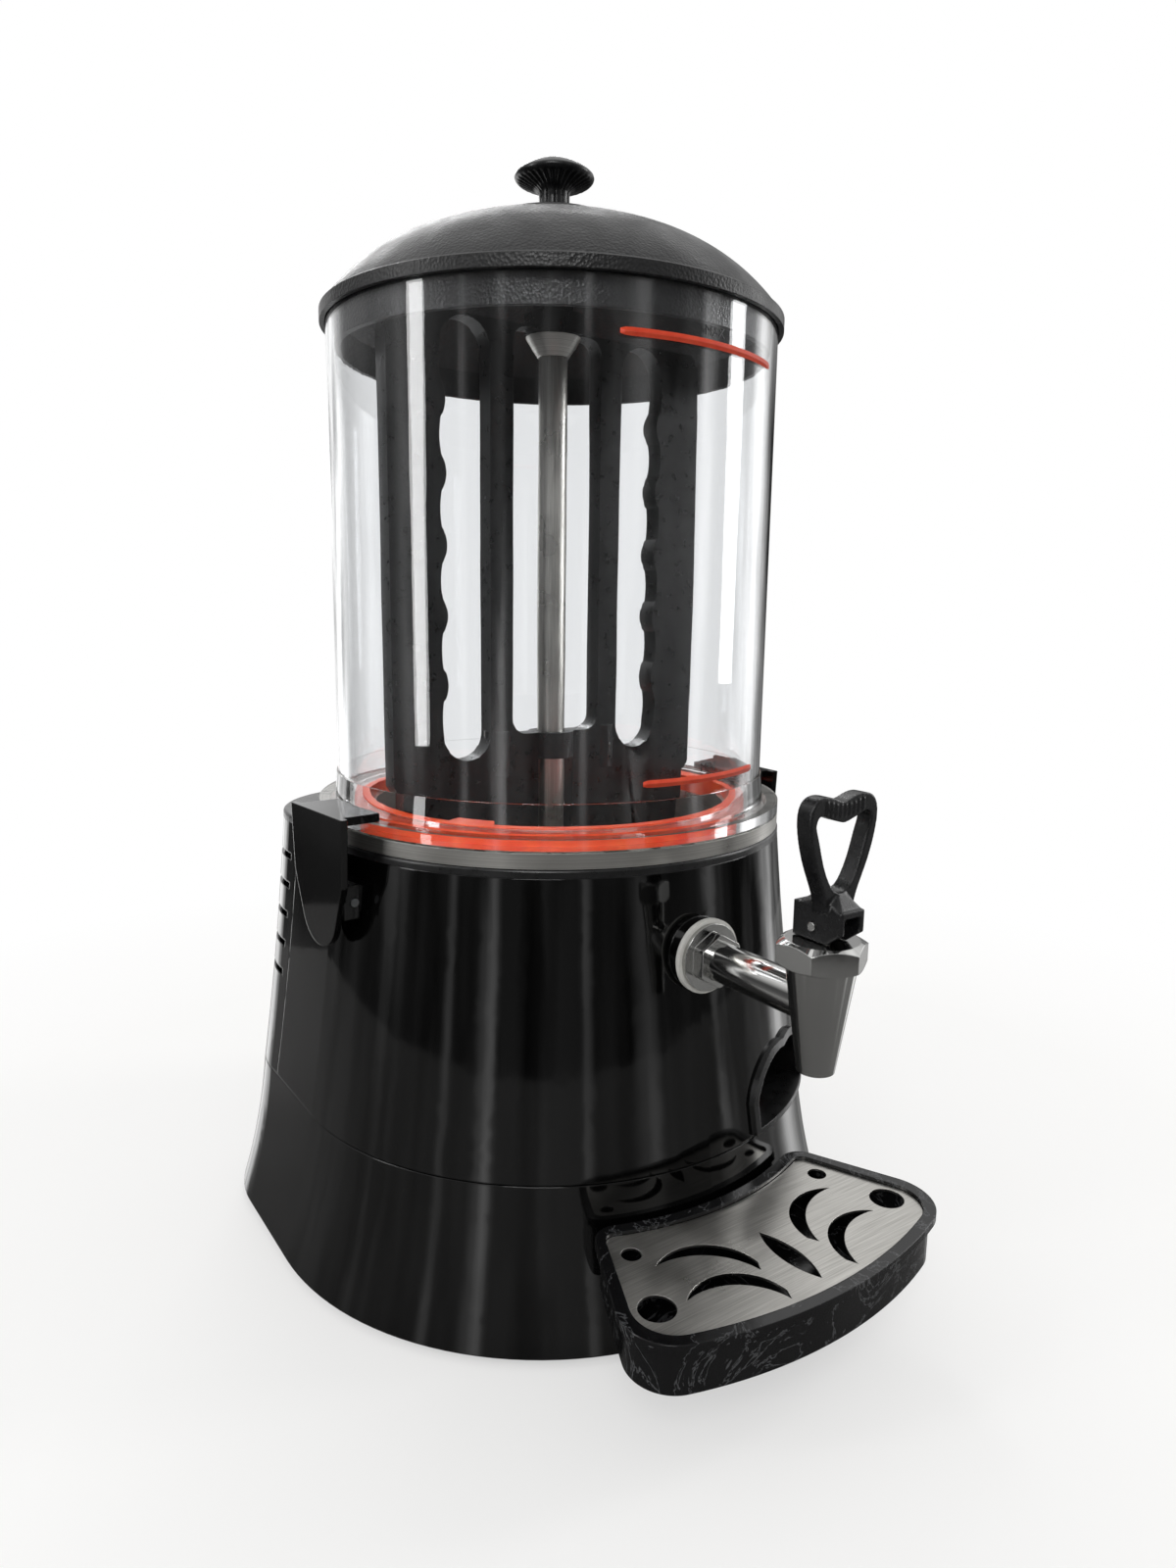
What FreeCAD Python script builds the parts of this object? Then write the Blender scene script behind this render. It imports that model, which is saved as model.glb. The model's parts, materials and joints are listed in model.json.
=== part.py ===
import FreeCAD, Part
import math
import os

os.makedirs("parts", exist_ok=True)

# Hot chocolate dispenser, millimetres, +Z up, front towards -Y.
# Everything is modelled about the vertical bowl axis and moved back by axis_y at the end,
# so that the origin is the middle of the footprint on the table.

# Clearances
run_gap = 0.05          # radial gap of pins and shafts in their holes
fit_gap = 0.3           # gap between a moving piece and its seat
seam_gap = 0.6          # visible seam between two housing shells
seat_gap = 0.1          # gap under a piece that rests on another

# Aids for cutting and joining
weld = 1.0              # how far one form of a moulding runs into the next
over = 1.0              # how far a cutter runs past what it cuts
far = 400.0             # beyond the machine on every side
tol = 0.01              # for picking edges by their size

# Base and housing: the round-fronted plan at the seam, and how it changes below and above
seam_half_width = 141.5
seam_height = 79.0
seam_rear = 130.0
seam_corner = 66.0
foot_height = 5.0
flare_height = 40.0
flare_spread = 6.5
flare_rear_spread = 4.0
base_spread = 15.5
base_rear_spread = 10.0
base_corner_spread = 12.0
top_height = 216.0
waist_drop = 66.0       # of the waist below the top
waist_draw = 10.0
top_draw = 17.0
top_rear_draw = 2.0
top_corner_draw = 6.0
shell_wall = 3.0
skirt_wall = 3.5
lip_height = 9.0
lip_wall = 2.5
lip_root = 4.0
cover_split_y = 54.0
deck_thickness = 4.0
deck_round = 1.6
deck_rim_depth = 10.0
deck_rim_wall = 3.0
plate_thickness = 2.0
plate_inset = 1.2

# Feet
foot_radius = 14.0
foot_taper = 1.5
foot_inset = 73.0
foot_front_y = -90.0
foot_rear_y = 92.0
foot_cap_radius = 4.0
foot_cap_height = 2.0

# Vents of the rear cover
vent_pitch = 16.0
vent_height = 3.5
vent_count = 5
vent_drop = 20.0        # of the highest slot below the top
side_vent_front = 62.0
side_vent_rear = 98.0
rear_vent_half_width = 42.0

# Screws
screw_radius = 2.0
screw_head_radius = 3.8
screw_head_height = 1.8
screw_length = 14.0
bottom_screw_inset = 13.5
boss_radius = 5.5
boss_height = 26.0
cover_screw_x = 48.0

# Stainless ring and water bath
ring_edge = 0.5         # of the deck left outside the ring
ring_width = 6.0
ring_height = 7.2
tank_inset = 17.0
tank_wall = 1.2
tank_depth = 86.0

# Product pan, centre tube and outlet
pan_inset = 8.0
pan_draft = 8.0
pan_depth = 55.0
pan_wall = 1.5
tube_radius = 7.5
tube_wall = 1.2
tube_drop = 13.0        # of its top below the bowl's rim
tube_below = 4.0
bush_length = 18.0
outlet_radius = 12.0
outlet_start = 6.0

# Clear bowl and its seal
bowl_height = 237.8
bowl_flange_width = 10.2
bowl_wall = 3.0
bowl_flange_thickness = 6.0
bowl_lip_width = 10.3
bowl_foot_height = 14.0
bowl_foot_step = 2.0
bowl_foot_top_step = 0.8
seal_overhang = 4.0
seal_width = 4.5
seal_gap = 0.2
seal_lip = 0.4
seal_tab_radius = 11.0
seal_tab_tuck = 6.0
seal_tab_thickness = 2.5
seal_tab_angles = (-54.0, 92.0)

# Lid
lid_rim_overhang = 2.8
lid_rim_drop = 3.2
lid_rim_height = 5.5
lid_rim_bevel = 1.6
lid_rim_bevel_rise = 1.0
lid_skirt_depth = 16.0
lid_skirt_wall = 2.8
lid_skirt_gap = 1.0
lid_mouth_gap = 0.4
lid_wall = 3.0
lid_dome_height = 56.0
lid_step_radius = 48.0
lid_step = 1.8
lid_step_share = 0.24   # of the dome's height that lies above the step
dome_mid_share = 0.74   # of the rim's radius, where the dome has risen by dome_mid_rise
dome_mid_rise = 0.49
dome_hollow_share = 0.70
knob_radius = 20.0
knob_stem_radius = 7.75
knob_stem_height = 10.0
knob_disc_height = 15.0
knob_under_rise = 5.0
knob_edge_height = 3.0
knob_edge_round = 1.0
knob_flutes = 12
knob_flute_radius = 0.9
knob_screw_gap = 0.6
knob_screw_bite = 6.0
knob_hole_depth = 8.0

# Stirrer, up from the bowl's floor
stirrer_side_gap = 18.8
stirrer_thickness = 11.0
stirrer_over = 9.0      # above the bowl's rim, inside the lid
stirrer_corner = 26.0
stirrer_waist_rise = 10.8
stirrer_shoulder_rise = 4.0
stirrer_neck_gap = 9.5
stirrer_web = 10.0
window_inner = 40.0
window_outer_gap = 28.0
window_rise = 20.8
centre_bar = 27.0
centre_corner = 8.0
cross_web_rise = 18.8
cross_web_height = 14.0
wave_count = 5
wave_depth = 2.6
wave_rise = 0.8
blade_clearance = 3.0
blade_hub_half = 11.0
stirrer_boss_radius = 7.0
stirrer_boss_below = 8.0
stirrer_boss_above = 2.0
hub_wall = 5.0
collar_side = 4.0
collar_front = 2.0
coupling_width = 15.6
coupling_round = 1.2
coupling_over = 23.0    # above the bowl's rim
coupling_cap = 5.0
cup_height = 10.0
cup_radius = 14.5
cup_neck = 0.5
cup_wall = 1.2
cup_floor = 2.0
shaft_radius = 4.0

# Drive, hung under the water bath
bath_to_gearbox = 11.0
gearbox_radius = 33.0
gearbox_height = 30.0
gearbox_round = 2.0
gearbox_collar_radius = 10.0
gearbox_collar_rise = 2.0
shaft_bite = 12.0
motor_radius = 28.0
motor_length = 56.0
motor_round = 3.0
bracket_thickness = 3.0
bracket_half_x = 98.0
bracket_half_y = 38.0
bracket_corner = 8.0
post_radius = 5.0
post_x = 84.0
post_y = 26.0

# Heating
heater_inset = 35.0
heater_tube_radius = 4.0
heater_rise = 14.0
heater_sweep = 320.0
heater_foot_drop = 8.0
cutout_radius = 9.0
cutout_height = 8.0
cutout_x = 50.4
cutout_y = 64.8
cutout_tab_half_x = 6.0
cutout_tab_half_y = 3.0
cutout_tab_height = 5.0

# Tap
tap_drop = 39.0         # of its axis below the top
tap_seat_proud = 1.5
tap_length = 69.5
tap_boss_radius = 16.5
tap_boss_depth = 12.0
washer_radius = 17.5
washer_thickness = 2.5
nut_across_flats = 22.0
hex_sides = 6
nut_corner_radius = 12.3
nut_flange_radius = 15.8
nut_flange_thickness = 2.0
nut_thickness = 8.5
shank_radius = 9.0
shank_inside = 31.0
tap_bore_radius = 5.5
nozzle_drop = 28.0
nozzle_radius = 7.8
tap_body_radius = 14.4
tap_body_rise = 17.0
bonnet_radius = 19.0
bonnet_height = 11.0
bonnet_wall = 5.0
bonnet_flare = 3.0
bonnet_low = 3.0
bonnet_crown = 4.0
plug_radius = 8.6
plug_height = 6.0
chamber_radius = 9.2
passage_start = 6.0
seat_drop = 8.0
stem_radius = 3.2
stem_head = 4.0
tap_pin_radius = 1.8
tap_pin_rise = 6.0
tap_pin_proud = 0.4
handle_half_width = 6.7
handle_front = 14.9
handle_rear = 10.3
handle_block_height = 14.5
handle_cam_reach = 7.5
handle_cam_rise = 5.6
handle_slot_half = 4.4
handle_slot_rear = 6.0
handle_slot_rise = 6.0
loop_front = 8.0
loop_rear = 0.4
loop_outside = ((7.4, 12.5), (9.3, 20.0), (13.5, 29.5), (17.3, 40.5), (18.7, 49.0), (18.2, 54.0), (15.8, 57.6),
                (11.0, 59.0), (5.0, 57.9), (0.0, 56.6))
loop_inside = ((0.0, 20.5), (4.0, 22.0), (7.5, 26.5), (11.0, 34.5), (14.2, 44.5), (15.1, 49.0), (13.6, 51.6),
               (9.0, 50.9), (4.0, 49.2), (0.0, 48.3))

# Latches
latch_angle = 85.0
latch_stand_off = 11.0
latch_plate_thickness = 3.2
latch_half_width = 27.0
latch_mid_half_width = 25.1
latch_low_half_width = 17.0
latch_tip_rise = 12.2
latch_shoulder_rise = 8.0
latch_tip_drop = 44.0   # of its lower end below the top
latch_hook_half_width = 22.0
latch_hook_grip = 7.0
latch_hook_trim = 0.5
latch_hook_thickness = 4.0
latch_pivot_inset = 4.5
latch_pivot_drop = 19.0
latch_pin_radius = 2.0
latch_pin_proud = 0.8
latch_web_half = 21.0
latch_web_thickness = 2.4
latch_web_inset = 2.6
latch_web_rise = 8.0
latch_lug_half = 18.0
latch_lug_height = 12.0
latch_lug_depth = 31.0
latch_lug_gap = 1.6     # behind the tongue, so that its corner clears when the latch tips

# Control panel, turned from the front towards the right
panel_angle = 28.0
panel_half_width = 38.0
panel_rise = 1.5        # of its foot above the seam
panel_height = 36.0
panel_frame = 4.0
panel_sill = 2.4
panel_shoulder = 0.42   # of its height, where the arch begins
arch_fullness = 0.72
panel_sink = 9.5
panel_floor = 3.0
panel_depth = 60.0
panel_proud = 2.5
dial_x = -14.0
dial_rise = 16.0
dial_radius = 12.0
dial_length = 8.0
dial_round = 1.5
dial_grooves = 10
dial_groove_radius = 1.6
dial_groove_offset = 0.6
dial_groove_stop = 3.0
spindle_radius = 3.0
spindle_depth = 6.0
thermostat_half_width = 15.0
thermostat_half_height = 13.0
thermostat_depth = 22.0
rocker_x = 16.0
rocker_half_width = 6.5
rocker_half_height = 9.5
rocker_sunk = 1.5
rocker_low = 1.0
rocker_middle = 2.6
rocker_high = 4.6
rocker_trim = 1.0
switch_half_width = 7.5
switch_half_height = 12.0
switch_depth = 18.0
switch_mouth = 3.0
lamp_radius = 3.0
lamp_x = 4.7
lamp_spacing = 9.0
lamp_proud = 2.0
lamp_depth = 12.0

# Drip tray and its grid
tray_bottom = 38.0
tray_height = 24.0
tray_gap = 2.0          # between the tray and the widest of the flare behind it
tray_depth = 72.5
tray_half_angle = 24.0
tray_corner = 20.0
tray_near_corner = 8.0
tray_least_corner = 2.0
tray_wall = 2.5
tray_rim = 3.0
tray_rim_height = 3.5
grid_thickness = 1.2
grid_drop = 1.6
ledge_half_width = 10.0
ledge_height = 4.0
ledge_depth = 3.0
ledge_root = 0.5
ledge_turn = 19.0
hook_x = 38.0
hook_half_width = 10.0
hook_height = 5.0
hook_rise = 10.0
hook_tuck = 12.0
slot_depth = 40.0

# Holes of the grid: reach in from its near edge, degrees from the middle
small_hole = (16.5, 20.0)
small_hole_radius = 4.5
large_hole = (51.5, 20.0)
large_hole_radius = 8.0
near_crescent = ((26.5, 17.5), (21.0, 8.5), (40.5, 4.5))
far_crescent = ((50.5, 16.3), (43.0, 8.0), (60.5, 4.8))
crescent_width = 7.6
crescent_end = 5.4
leaf_start = 25.0
leaf_end = 62.5
leaf_half_width = 5.0

# Electrical inlet and terminals
gland_x = -60.0
gland_rise = 19.0
gland_radius = 9.0
gland_bore = 4.5
gland_length = 9.0
gland_inside = 12.0
gland_flange_radius = 12.0
gland_flange_gap = 0.2
gland_flange_height = 4.0
terminal_x = -60.0
terminal_y = 80.0
terminal_half_x = 15.0
terminal_half_y = 10.0
terminal_height = 18.0
terminal_count = 3
terminal_pitch = 10.0
terminal_hole_radius = 2.2
terminal_hole_floor = 8.0

# Worked out from the sizes above: plan
base_half_width = seam_half_width + base_spread
base_rear = seam_rear + base_rear_spread
base_corner = seam_corner + base_corner_spread
flare_half_width = seam_half_width + flare_spread
waist_half_width = seam_half_width - waist_draw
top_half_width = seam_half_width - top_draw
top_rear = seam_rear - top_rear_draw
top_corner = seam_corner - top_corner_draw
ring_radius = top_half_width - ring_edge
ring_inner_radius = ring_radius - ring_width
tank_flange_radius = ring_inner_radius - ring_edge
tank_radius = ring_radius - tank_inset
pan_top_radius = tank_radius - pan_inset
pan_floor_radius = pan_top_radius - pan_draft
bowl_flange_radius = ring_radius
bowl_radius = bowl_flange_radius - bowl_flange_width
bowl_lip_radius = bowl_radius - bowl_lip_width
seal_inner_radius = bowl_lip_radius - seal_overhang
lid_rim_radius = bowl_radius + lid_rim_overhang
stirrer_half_width = bowl_radius - stirrer_side_gap
stirrer_neck = seal_inner_radius - stirrer_neck_gap
window_outer = stirrer_half_width - window_outer_gap
heater_ring_radius = tank_radius - heater_inset
tap_seat_reach = waist_half_width + tap_seat_proud
tap_reach = tap_seat_reach + tap_length
shank_inner_end = tap_seat_reach - shank_inside
latch_plate_reach = top_half_width + latch_stand_off
latch_pivot_reach = latch_plate_reach - latch_pivot_inset
latch_hook_inner = ring_radius - latch_hook_grip
panel_face_reach = waist_half_width - panel_sink
panel_back_reach = panel_face_reach - panel_floor
tray_inner_reach = flare_half_width + tray_gap
tray_outer_reach = tray_inner_reach + tray_depth
axis_y = (tray_outer_reach + tray_rim - base_rear) / 2

# Worked out from the sizes above: heights
foot_x = base_half_width - foot_inset
plate_top = foot_height + plate_thickness
waist_height = top_height - waist_drop
deck_top = top_height + deck_thickness
ring_top = deck_top + ring_height
bowl_base_top = ring_top + bowl_flange_thickness
bowl_top = bowl_base_top + bowl_height
tube_top = bowl_top - tube_drop
lid_seat = bowl_top + fit_gap
lid_top = lid_seat + lid_dome_height
tank_bottom = deck_top - tank_depth
pan_floor = deck_top - pan_depth
gearbox_top = tank_bottom - bath_to_gearbox
motor_top = gearbox_top - gearbox_height
heater_height = tank_bottom + heater_rise
stirrer_top = bowl_top + stirrer_over
stirrer_waist = bowl_base_top + stirrer_waist_rise
window_bottom = bowl_base_top + window_rise
cross_web_bottom = bowl_base_top + cross_web_rise
cross_web_top = cross_web_bottom + cross_web_height
coupling_top = bowl_top + coupling_over
tap_height = top_height - tap_drop
nozzle_bottom = tap_height - nozzle_drop
seat_height = tap_height - seat_drop
tap_body_top = tap_height + tap_body_rise
bonnet_top = tap_body_top + bonnet_height
pin_height = bonnet_top + tap_pin_rise
latch_top = bowl_base_top + fit_gap
latch_bottom = top_height - latch_tip_drop
latch_pivot_height = top_height - latch_pivot_drop
vent_top = top_height - vent_drop
panel_bottom = seam_height + panel_rise
dial_z = panel_bottom + dial_rise
gland_z = seam_height + gland_rise
tray_top = tray_bottom + tray_height


def vec(x, y, z):
    return FreeCAD.Vector(x, y, z)


def disc(radius, z0, z1, x=0.0, y=0.0):
    return Part.makeCylinder(radius, z1 - z0, vec(x, y, z0))


def pipe(outer, inner, z0, z1, x=0.0, y=0.0):
    return disc(outer, z0, z1, x, y).cut(disc(inner, z0 - over, z1 + over, x, y))


def block(x0, x1, y0, y1, z0, z1):
    return Part.makeBox(x1 - x0, y1 - y0, z1 - z0, vec(x0, y0, z0))


def rod_y(radius, y0, y1, x, z):
    return Part.makeCylinder(radius, y1 - y0, vec(x, y0, z), vec(0, 1, 0))


def rod_x(radius, x0, x1, y, z):
    return Part.makeCylinder(radius, x1 - x0, vec(x0, y, z), vec(1, 0, 0))


def hex_face(across_flats):
    """A hexagon in the XY plane, flats left and right."""
    corner = across_flats / math.sqrt(3)
    points = []
    for i in range(hex_sides + 1):
        angle = math.pi * (2 * i + 1) / hex_sides
        points.append(vec(corner * math.cos(angle), corner * math.sin(angle), 0))
    return Part.Face(Part.makePolygon(points))


def line(a, b):
    return Part.makeLine(vec(*a), vec(*b))


def arc(a, middle, b):
    return Part.Arc(vec(*a), vec(*middle), vec(*b)).toShape()


def cap_arc(radius, z, top):
    """Arc of a ball-shaped cap from its rim up to its top on the axis."""
    rise = top - z
    ball = (radius * radius + rise * rise) / (2 * rise)
    half = math.asin(radius / ball) / 2
    middle = (ball * math.sin(half), 0, top - ball + ball * math.cos(half))
    return arc((radius, 0, z), middle, (0, 0, top))


def face_of(edges):
    return Part.Face(Part.Wire(edges))


def turned_solid(points):
    """Spin an outline of (radius, height) points about the Z axis."""
    corners = [vec(r, 0, z) for r, z in points]
    outline = Part.makePolygon(corners + corners[:1])
    return Part.Face(outline).revolve(vec(0, 0, 0), vec(0, 0, 1), 360)


def spun_edges(edges):
    return face_of(edges).revolve(vec(0, 0, 0), vec(0, 0, 1), 360)


def turned(shape, degrees):
    copy = shape.copy()
    copy.rotate(vec(0, 0, 0), vec(0, 0, 1), degrees)
    return copy


def fused(shapes):
    return shapes[0].multiFuse(list(shapes[1:])).removeSplitter()


def mirrored_x(shape):
    return shape.mirror(vec(0, 0, 0), vec(1, 0, 0))


def save(name, shape):
    moved = shape.copy()
    moved.translate(vec(0, axis_y, 0))
    moved.exportStep("parts/" + name + ".step")


def plan_wire(half_width, rear, corner, z):
    """Plan of the machine: round front, straight sides, round rear corners."""
    w = half_width
    k = math.sqrt(0.5)
    cx = w - corner
    cy = rear - corner
    edges = [
        arc((-w, 0, z), (-w * k, -w * k, z), (0, -w, z)),
        arc((0, -w, z), (w * k, -w * k, z), (w, 0, z)),
        line((w, 0, z), (w, cy, z)),
        arc((w, cy, z), (cx + corner * k, cy + corner * k, z), (cx, rear, z)),
        line((cx, rear, z), (-cx, rear, z)),
        arc((-cx, rear, z), (-cx - corner * k, cy + corner * k, z), (-w, cy, z)),
        line((-w, cy, z), (-w, 0, z)),
    ]
    return Part.Wire(edges)


def plan_prism(half_width, rear, corner, z0, z1):
    face = Part.Face(plan_wire(half_width, rear, corner, z0))
    return face.extrude(vec(0, 0, z1 - z0))


def seam_prism(inset, z0, z1):
    return plan_prism(seam_half_width - inset, seam_rear - inset, seam_corner - inset, z0, z1)


def top_prism(inset, z0, z1):
    return plan_prism(top_half_width - inset, top_rear - inset, top_corner - inset, z0, z1)


def skirt_solid(inset):
    """The flared lower body, made smaller all round by inset."""
    stations = [
        (base_half_width, base_rear, base_corner, foot_height),
        (flare_half_width, seam_rear + flare_rear_spread, (base_corner + seam_corner) / 2, flare_height),
        (seam_half_width, seam_rear, seam_corner, seam_height),
    ]
    wires = [plan_wire(w - inset, rear - inset, c - inset, z) for w, rear, c, z in stations]
    return Part.makeLoft(wires, True, False)


def housing_solid(inset):
    """The upper body from the seam to the deck, made smaller all round by inset."""
    stations = [
        (seam_half_width, seam_rear, seam_corner, seam_height),
        (waist_half_width, (seam_rear + top_rear) / 2, (seam_corner + top_corner) / 2, waist_height),
        (top_half_width, top_rear, top_corner, top_height),
    ]
    wires = [plan_wire(w - inset, rear - inset, c - inset, z) for w, rear, c, z in stations]
    return Part.makeLoft(wires, True, False)


def base_screw_places():
    """Screws through the bottom plate: two along the round front, one in each rear corner."""
    k = math.sqrt(0.5)
    front = (base_half_width - bottom_screw_inset) * k
    corner = (base_corner - bottom_screw_inset) * k
    rear_x = base_half_width - base_corner + corner
    rear_y = base_rear - base_corner + corner
    return [(-front, -front), (front, -front), (rear_x, rear_y), (-rear_x, rear_y)]


def hook_slots():
    """Openings in the skirt for the two tabs of the drip tray."""
    slots = []
    for side in (-1, 1):
        x0 = side * hook_x - hook_half_width - fit_gap
        x1 = side * hook_x + hook_half_width + fit_gap
        z0 = tray_bottom + hook_rise - fit_gap
        z1 = tray_bottom + hook_rise + hook_height + fit_gap
        slots.append(block(x0, x1, -base_half_width, -seam_half_width + slot_depth, z0, z1))
    return slots


def base_skirt():
    shell = skirt_solid(0).cut(skirt_solid(skirt_wall))
    lip = seam_prism(weld, seam_height - lip_root, seam_height + lip_height)
    inset = shell_wall + fit_gap + lip_wall
    lip = lip.cut(seam_prism(inset, seam_height - lip_root - over, seam_height + lip_height + over))
    lip = lip.common(skirt_solid(weld).fuse(housing_solid(shell_wall + fit_gap)))
    shell = shell.fuse(lip)
    for x, y in base_screw_places():
        boss = disc(boss_radius, plate_top, plate_top + boss_height, x, y)
        shell = shell.fuse(boss.common(skirt_solid(weld)))
    for x, y in base_screw_places():
        shell = shell.cut(disc(screw_radius + run_gap, 0, foot_height + screw_length + over, x, y))
    for slot in hook_slots():
        shell = shell.cut(slot)
    panel = panel_prism(panel_half_width + weld, panel_bottom - weld, panel_height + 2 * weld, panel_back_reach)
    shell = shell.cut(panel)
    for x, z in cover_screw_places()[:2]:
        shell = shell.cut(rod_y(screw_radius + run_gap, 0, far, x, z))
    return shell.removeSplitter()


def bottom_plate():
    inset = skirt_wall + plate_inset
    plate = plan_prism(base_half_width - inset, base_rear - inset, base_corner - inset,
                       foot_height, plate_top)
    plate = plate.common(skirt_solid(skirt_wall + run_gap))
    for x, y in base_screw_places():
        plate = plate.cut(disc(screw_radius + run_gap, 0, plate_top + over, x, y))
    for x, y in foot_places():
        plate = plate.cut(disc(screw_radius + run_gap, 0, plate_top + over, x, y))
    return plate


def bottom_screws():
    screws = []
    for x, y in base_screw_places():
        head = disc(screw_head_radius, foot_height - screw_head_height, foot_height, x, y)
        screws.append(head.fuse(disc(screw_radius, foot_height, foot_height + screw_length, x, y)))
    return Part.makeCompound(screws)


def foot_places():
    places = []
    for y in (foot_front_y, foot_rear_y):
        places.append((-foot_x, y))
        places.append((foot_x, y))
    return places


def rubber_feet():
    feet = []
    for x, y in foot_places():
        pad = Part.makeCone(foot_radius - foot_taper, foot_radius, foot_height, vec(x, y, 0))
        stem = disc(screw_radius, foot_height, plate_top, x, y)
        cap = disc(foot_cap_radius, plate_top, plate_top + foot_cap_height, x, y)
        feet.append(pad.fuse(stem).fuse(cap).removeSplitter())
    return Part.makeCompound(feet)


def panel_outline(half_width, bottom, height):
    """An arched opening seen from the front: straight foot, round top."""
    shoulder = bottom + height * panel_shoulder
    top = bottom + height
    w = half_width
    mid = w * arch_fullness
    rise = shoulder + (top - shoulder) * arch_fullness
    edges = [
        line((-w, 0, bottom), (w, 0, bottom)),
        line((w, 0, bottom), (w, 0, shoulder)),
        arc((w, 0, shoulder), (mid, 0, rise), (0, 0, top)),
        arc((0, 0, top), (-mid, 0, rise), (-w, 0, shoulder)),
        line((-w, 0, shoulder), (-w, 0, bottom)),
    ]
    return face_of(edges)


def panel_prism(half_width, bottom, height, start):
    """The arched prism of the control panel from start outwards, turned to its place on the housing."""
    face = panel_outline(half_width, bottom, height)
    face.translate(vec(0, -start, 0))
    return turned(face.extrude(vec(0, -panel_depth, 0)), panel_angle)


def housing_shell():
    shell = housing_solid(0).cut(housing_solid(shell_wall))
    trim = block(-far, far, -far, far, 0, seam_height + seam_gap)
    return shell.cut(trim)


def tap_boss():
    boss = rod_y(tap_boss_radius, -tap_seat_reach, -tap_seat_reach + tap_boss_depth, 0, tap_height)
    return boss.cut(housing_solid(weld))


def latch_lug():
    """Lug of one latch on the housing, in the latch's own frame (outwards is +X)."""
    z0 = latch_pivot_height - latch_lug_height / 2
    z1 = latch_pivot_height + latch_lug_height / 2
    lug = block(latch_pivot_reach - latch_lug_depth, latch_plate_reach - latch_lug_gap,
                -latch_lug_half, latch_lug_half, z0, z1)
    return lug.cut(latch_pivot(latch_pin_radius + run_gap, latch_half_width))


def latch_place(shape, side):
    """Turn a shape from the latch's own frame to the left (-1) or right (1) side."""
    degrees = latch_angle - 90.0
    if side > 0:
        return turned(shape, degrees)
    return mirrored_x(turned(shape, degrees))


def front_housing():
    shell = housing_shell().fuse(tap_boss())
    shell = shell.cut(rod_y(shank_radius + fit_gap, -far, 0, 0, tap_height))
    front = shell.cut(block(-far, far, cover_split_y - seam_gap / 2, far, 0, far))
    opening = panel_prism(panel_half_width, panel_bottom, panel_height, panel_back_reach)
    return front.cut(opening).removeSplitter()


def cover_screw_places():
    """The lower pair goes into the skirt's lip, the upper pair into the deck's rim."""
    low = seam_height + lip_height / 2
    high = top_height - deck_rim_depth / 2
    return [(-cover_screw_x, low), (cover_screw_x, low), (-cover_screw_x, high), (cover_screw_x, high)]


def rear_cover():
    cover = housing_shell().cut(block(-far, far, -far, cover_split_y + seam_gap / 2, 0, far))
    for i in range(vent_count):
        z = vent_top - vent_pitch * i
        cover = cover.cut(block(-far, far, side_vent_front, side_vent_rear, z, z + vent_height))
        middle = block(-rear_vent_half_width, rear_vent_half_width, side_vent_rear, far, z, z + vent_height)
        cover = cover.cut(middle)
    for x, z in cover_screw_places():
        cover = cover.cut(rod_y(screw_radius + run_gap, 0, far, x, z))
    return cover.cut(rod_y(gland_radius + run_gap, 0, far, gland_x, gland_z))


def rear_cover_screws():
    outside = housing_solid(0)
    screws = []
    for x, z in cover_screw_places():
        ray = rod_y(screw_radius, 0, far, x, z).common(outside)
        wall_y = ray.BoundBox.YMax
        shank = rod_y(screw_radius, wall_y - screw_length, wall_y, x, z)
        head_y = wall_y + seat_gap
        head = rod_y(screw_head_radius, head_y, head_y + screw_head_height, x, z)
        neck = rod_y(screw_radius, wall_y - weld, head_y, x, z)
        screws.append(fused([shank, neck, head]))
    return Part.makeCompound(screws)


def top_deck():
    deck = top_prism(0, top_height, deck_top)
    edges = [e for e in deck.Edges if e.BoundBox.ZMin > deck_top - tol]
    deck = deck.makeFillet(deck_round, edges)
    rim_inset = shell_wall + fit_gap
    rim = top_prism(rim_inset, top_height - deck_rim_depth, top_height)
    rim = rim.cut(top_prism(rim_inset + deck_rim_wall, top_height - deck_rim_depth - over, top_height))
    deck = deck.fuse(rim).cut(disc(tank_radius + fit_gap, 0, far))
    for x, z in cover_screw_places()[2:]:
        deck = deck.cut(rod_y(screw_radius + run_gap, 0, far, x, z))
    return deck.removeSplitter()


def water_tank():
    tank = disc(tank_radius, tank_bottom, deck_top)
    tank = tank.fuse(disc(tank_flange_radius, deck_top, deck_top + tank_wall))
    hollow = disc(tank_radius - tank_wall, tank_bottom + tank_wall, deck_top + tank_wall + over)
    tank = tank.cut(hollow).cut(disc(tube_radius + run_gap, 0, far))
    for x, y in heater_ends():
        tank = tank.cut(disc(heater_tube_radius + run_gap, 0, far, x, y))
    return tank.cut(rod_y(outlet_radius + run_gap, -far, 0, 0, tap_height))


def steel_ring():
    return pipe(ring_radius, ring_inner_radius, deck_top, ring_top)


def product_pan():
    top = deck_top + tank_wall
    outer = [(0, pan_floor), (pan_floor_radius, pan_floor), (pan_top_radius, top),
             (tank_flange_radius, top), (tank_flange_radius, top + pan_wall), (0, top + pan_wall)]
    inner = [(0, pan_floor + pan_wall), (pan_floor_radius - pan_wall, pan_floor + pan_wall),
             (pan_top_radius - pan_wall, top + pan_wall + over), (0, top + pan_wall + over)]
    pan = turned_solid(outer).cut(turned_solid(inner))
    pan = pan.cut(disc(tube_radius + run_gap, 0, far))
    return pan.cut(rod_y(tap_bore_radius, -far, 0, 0, tap_height))


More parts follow.
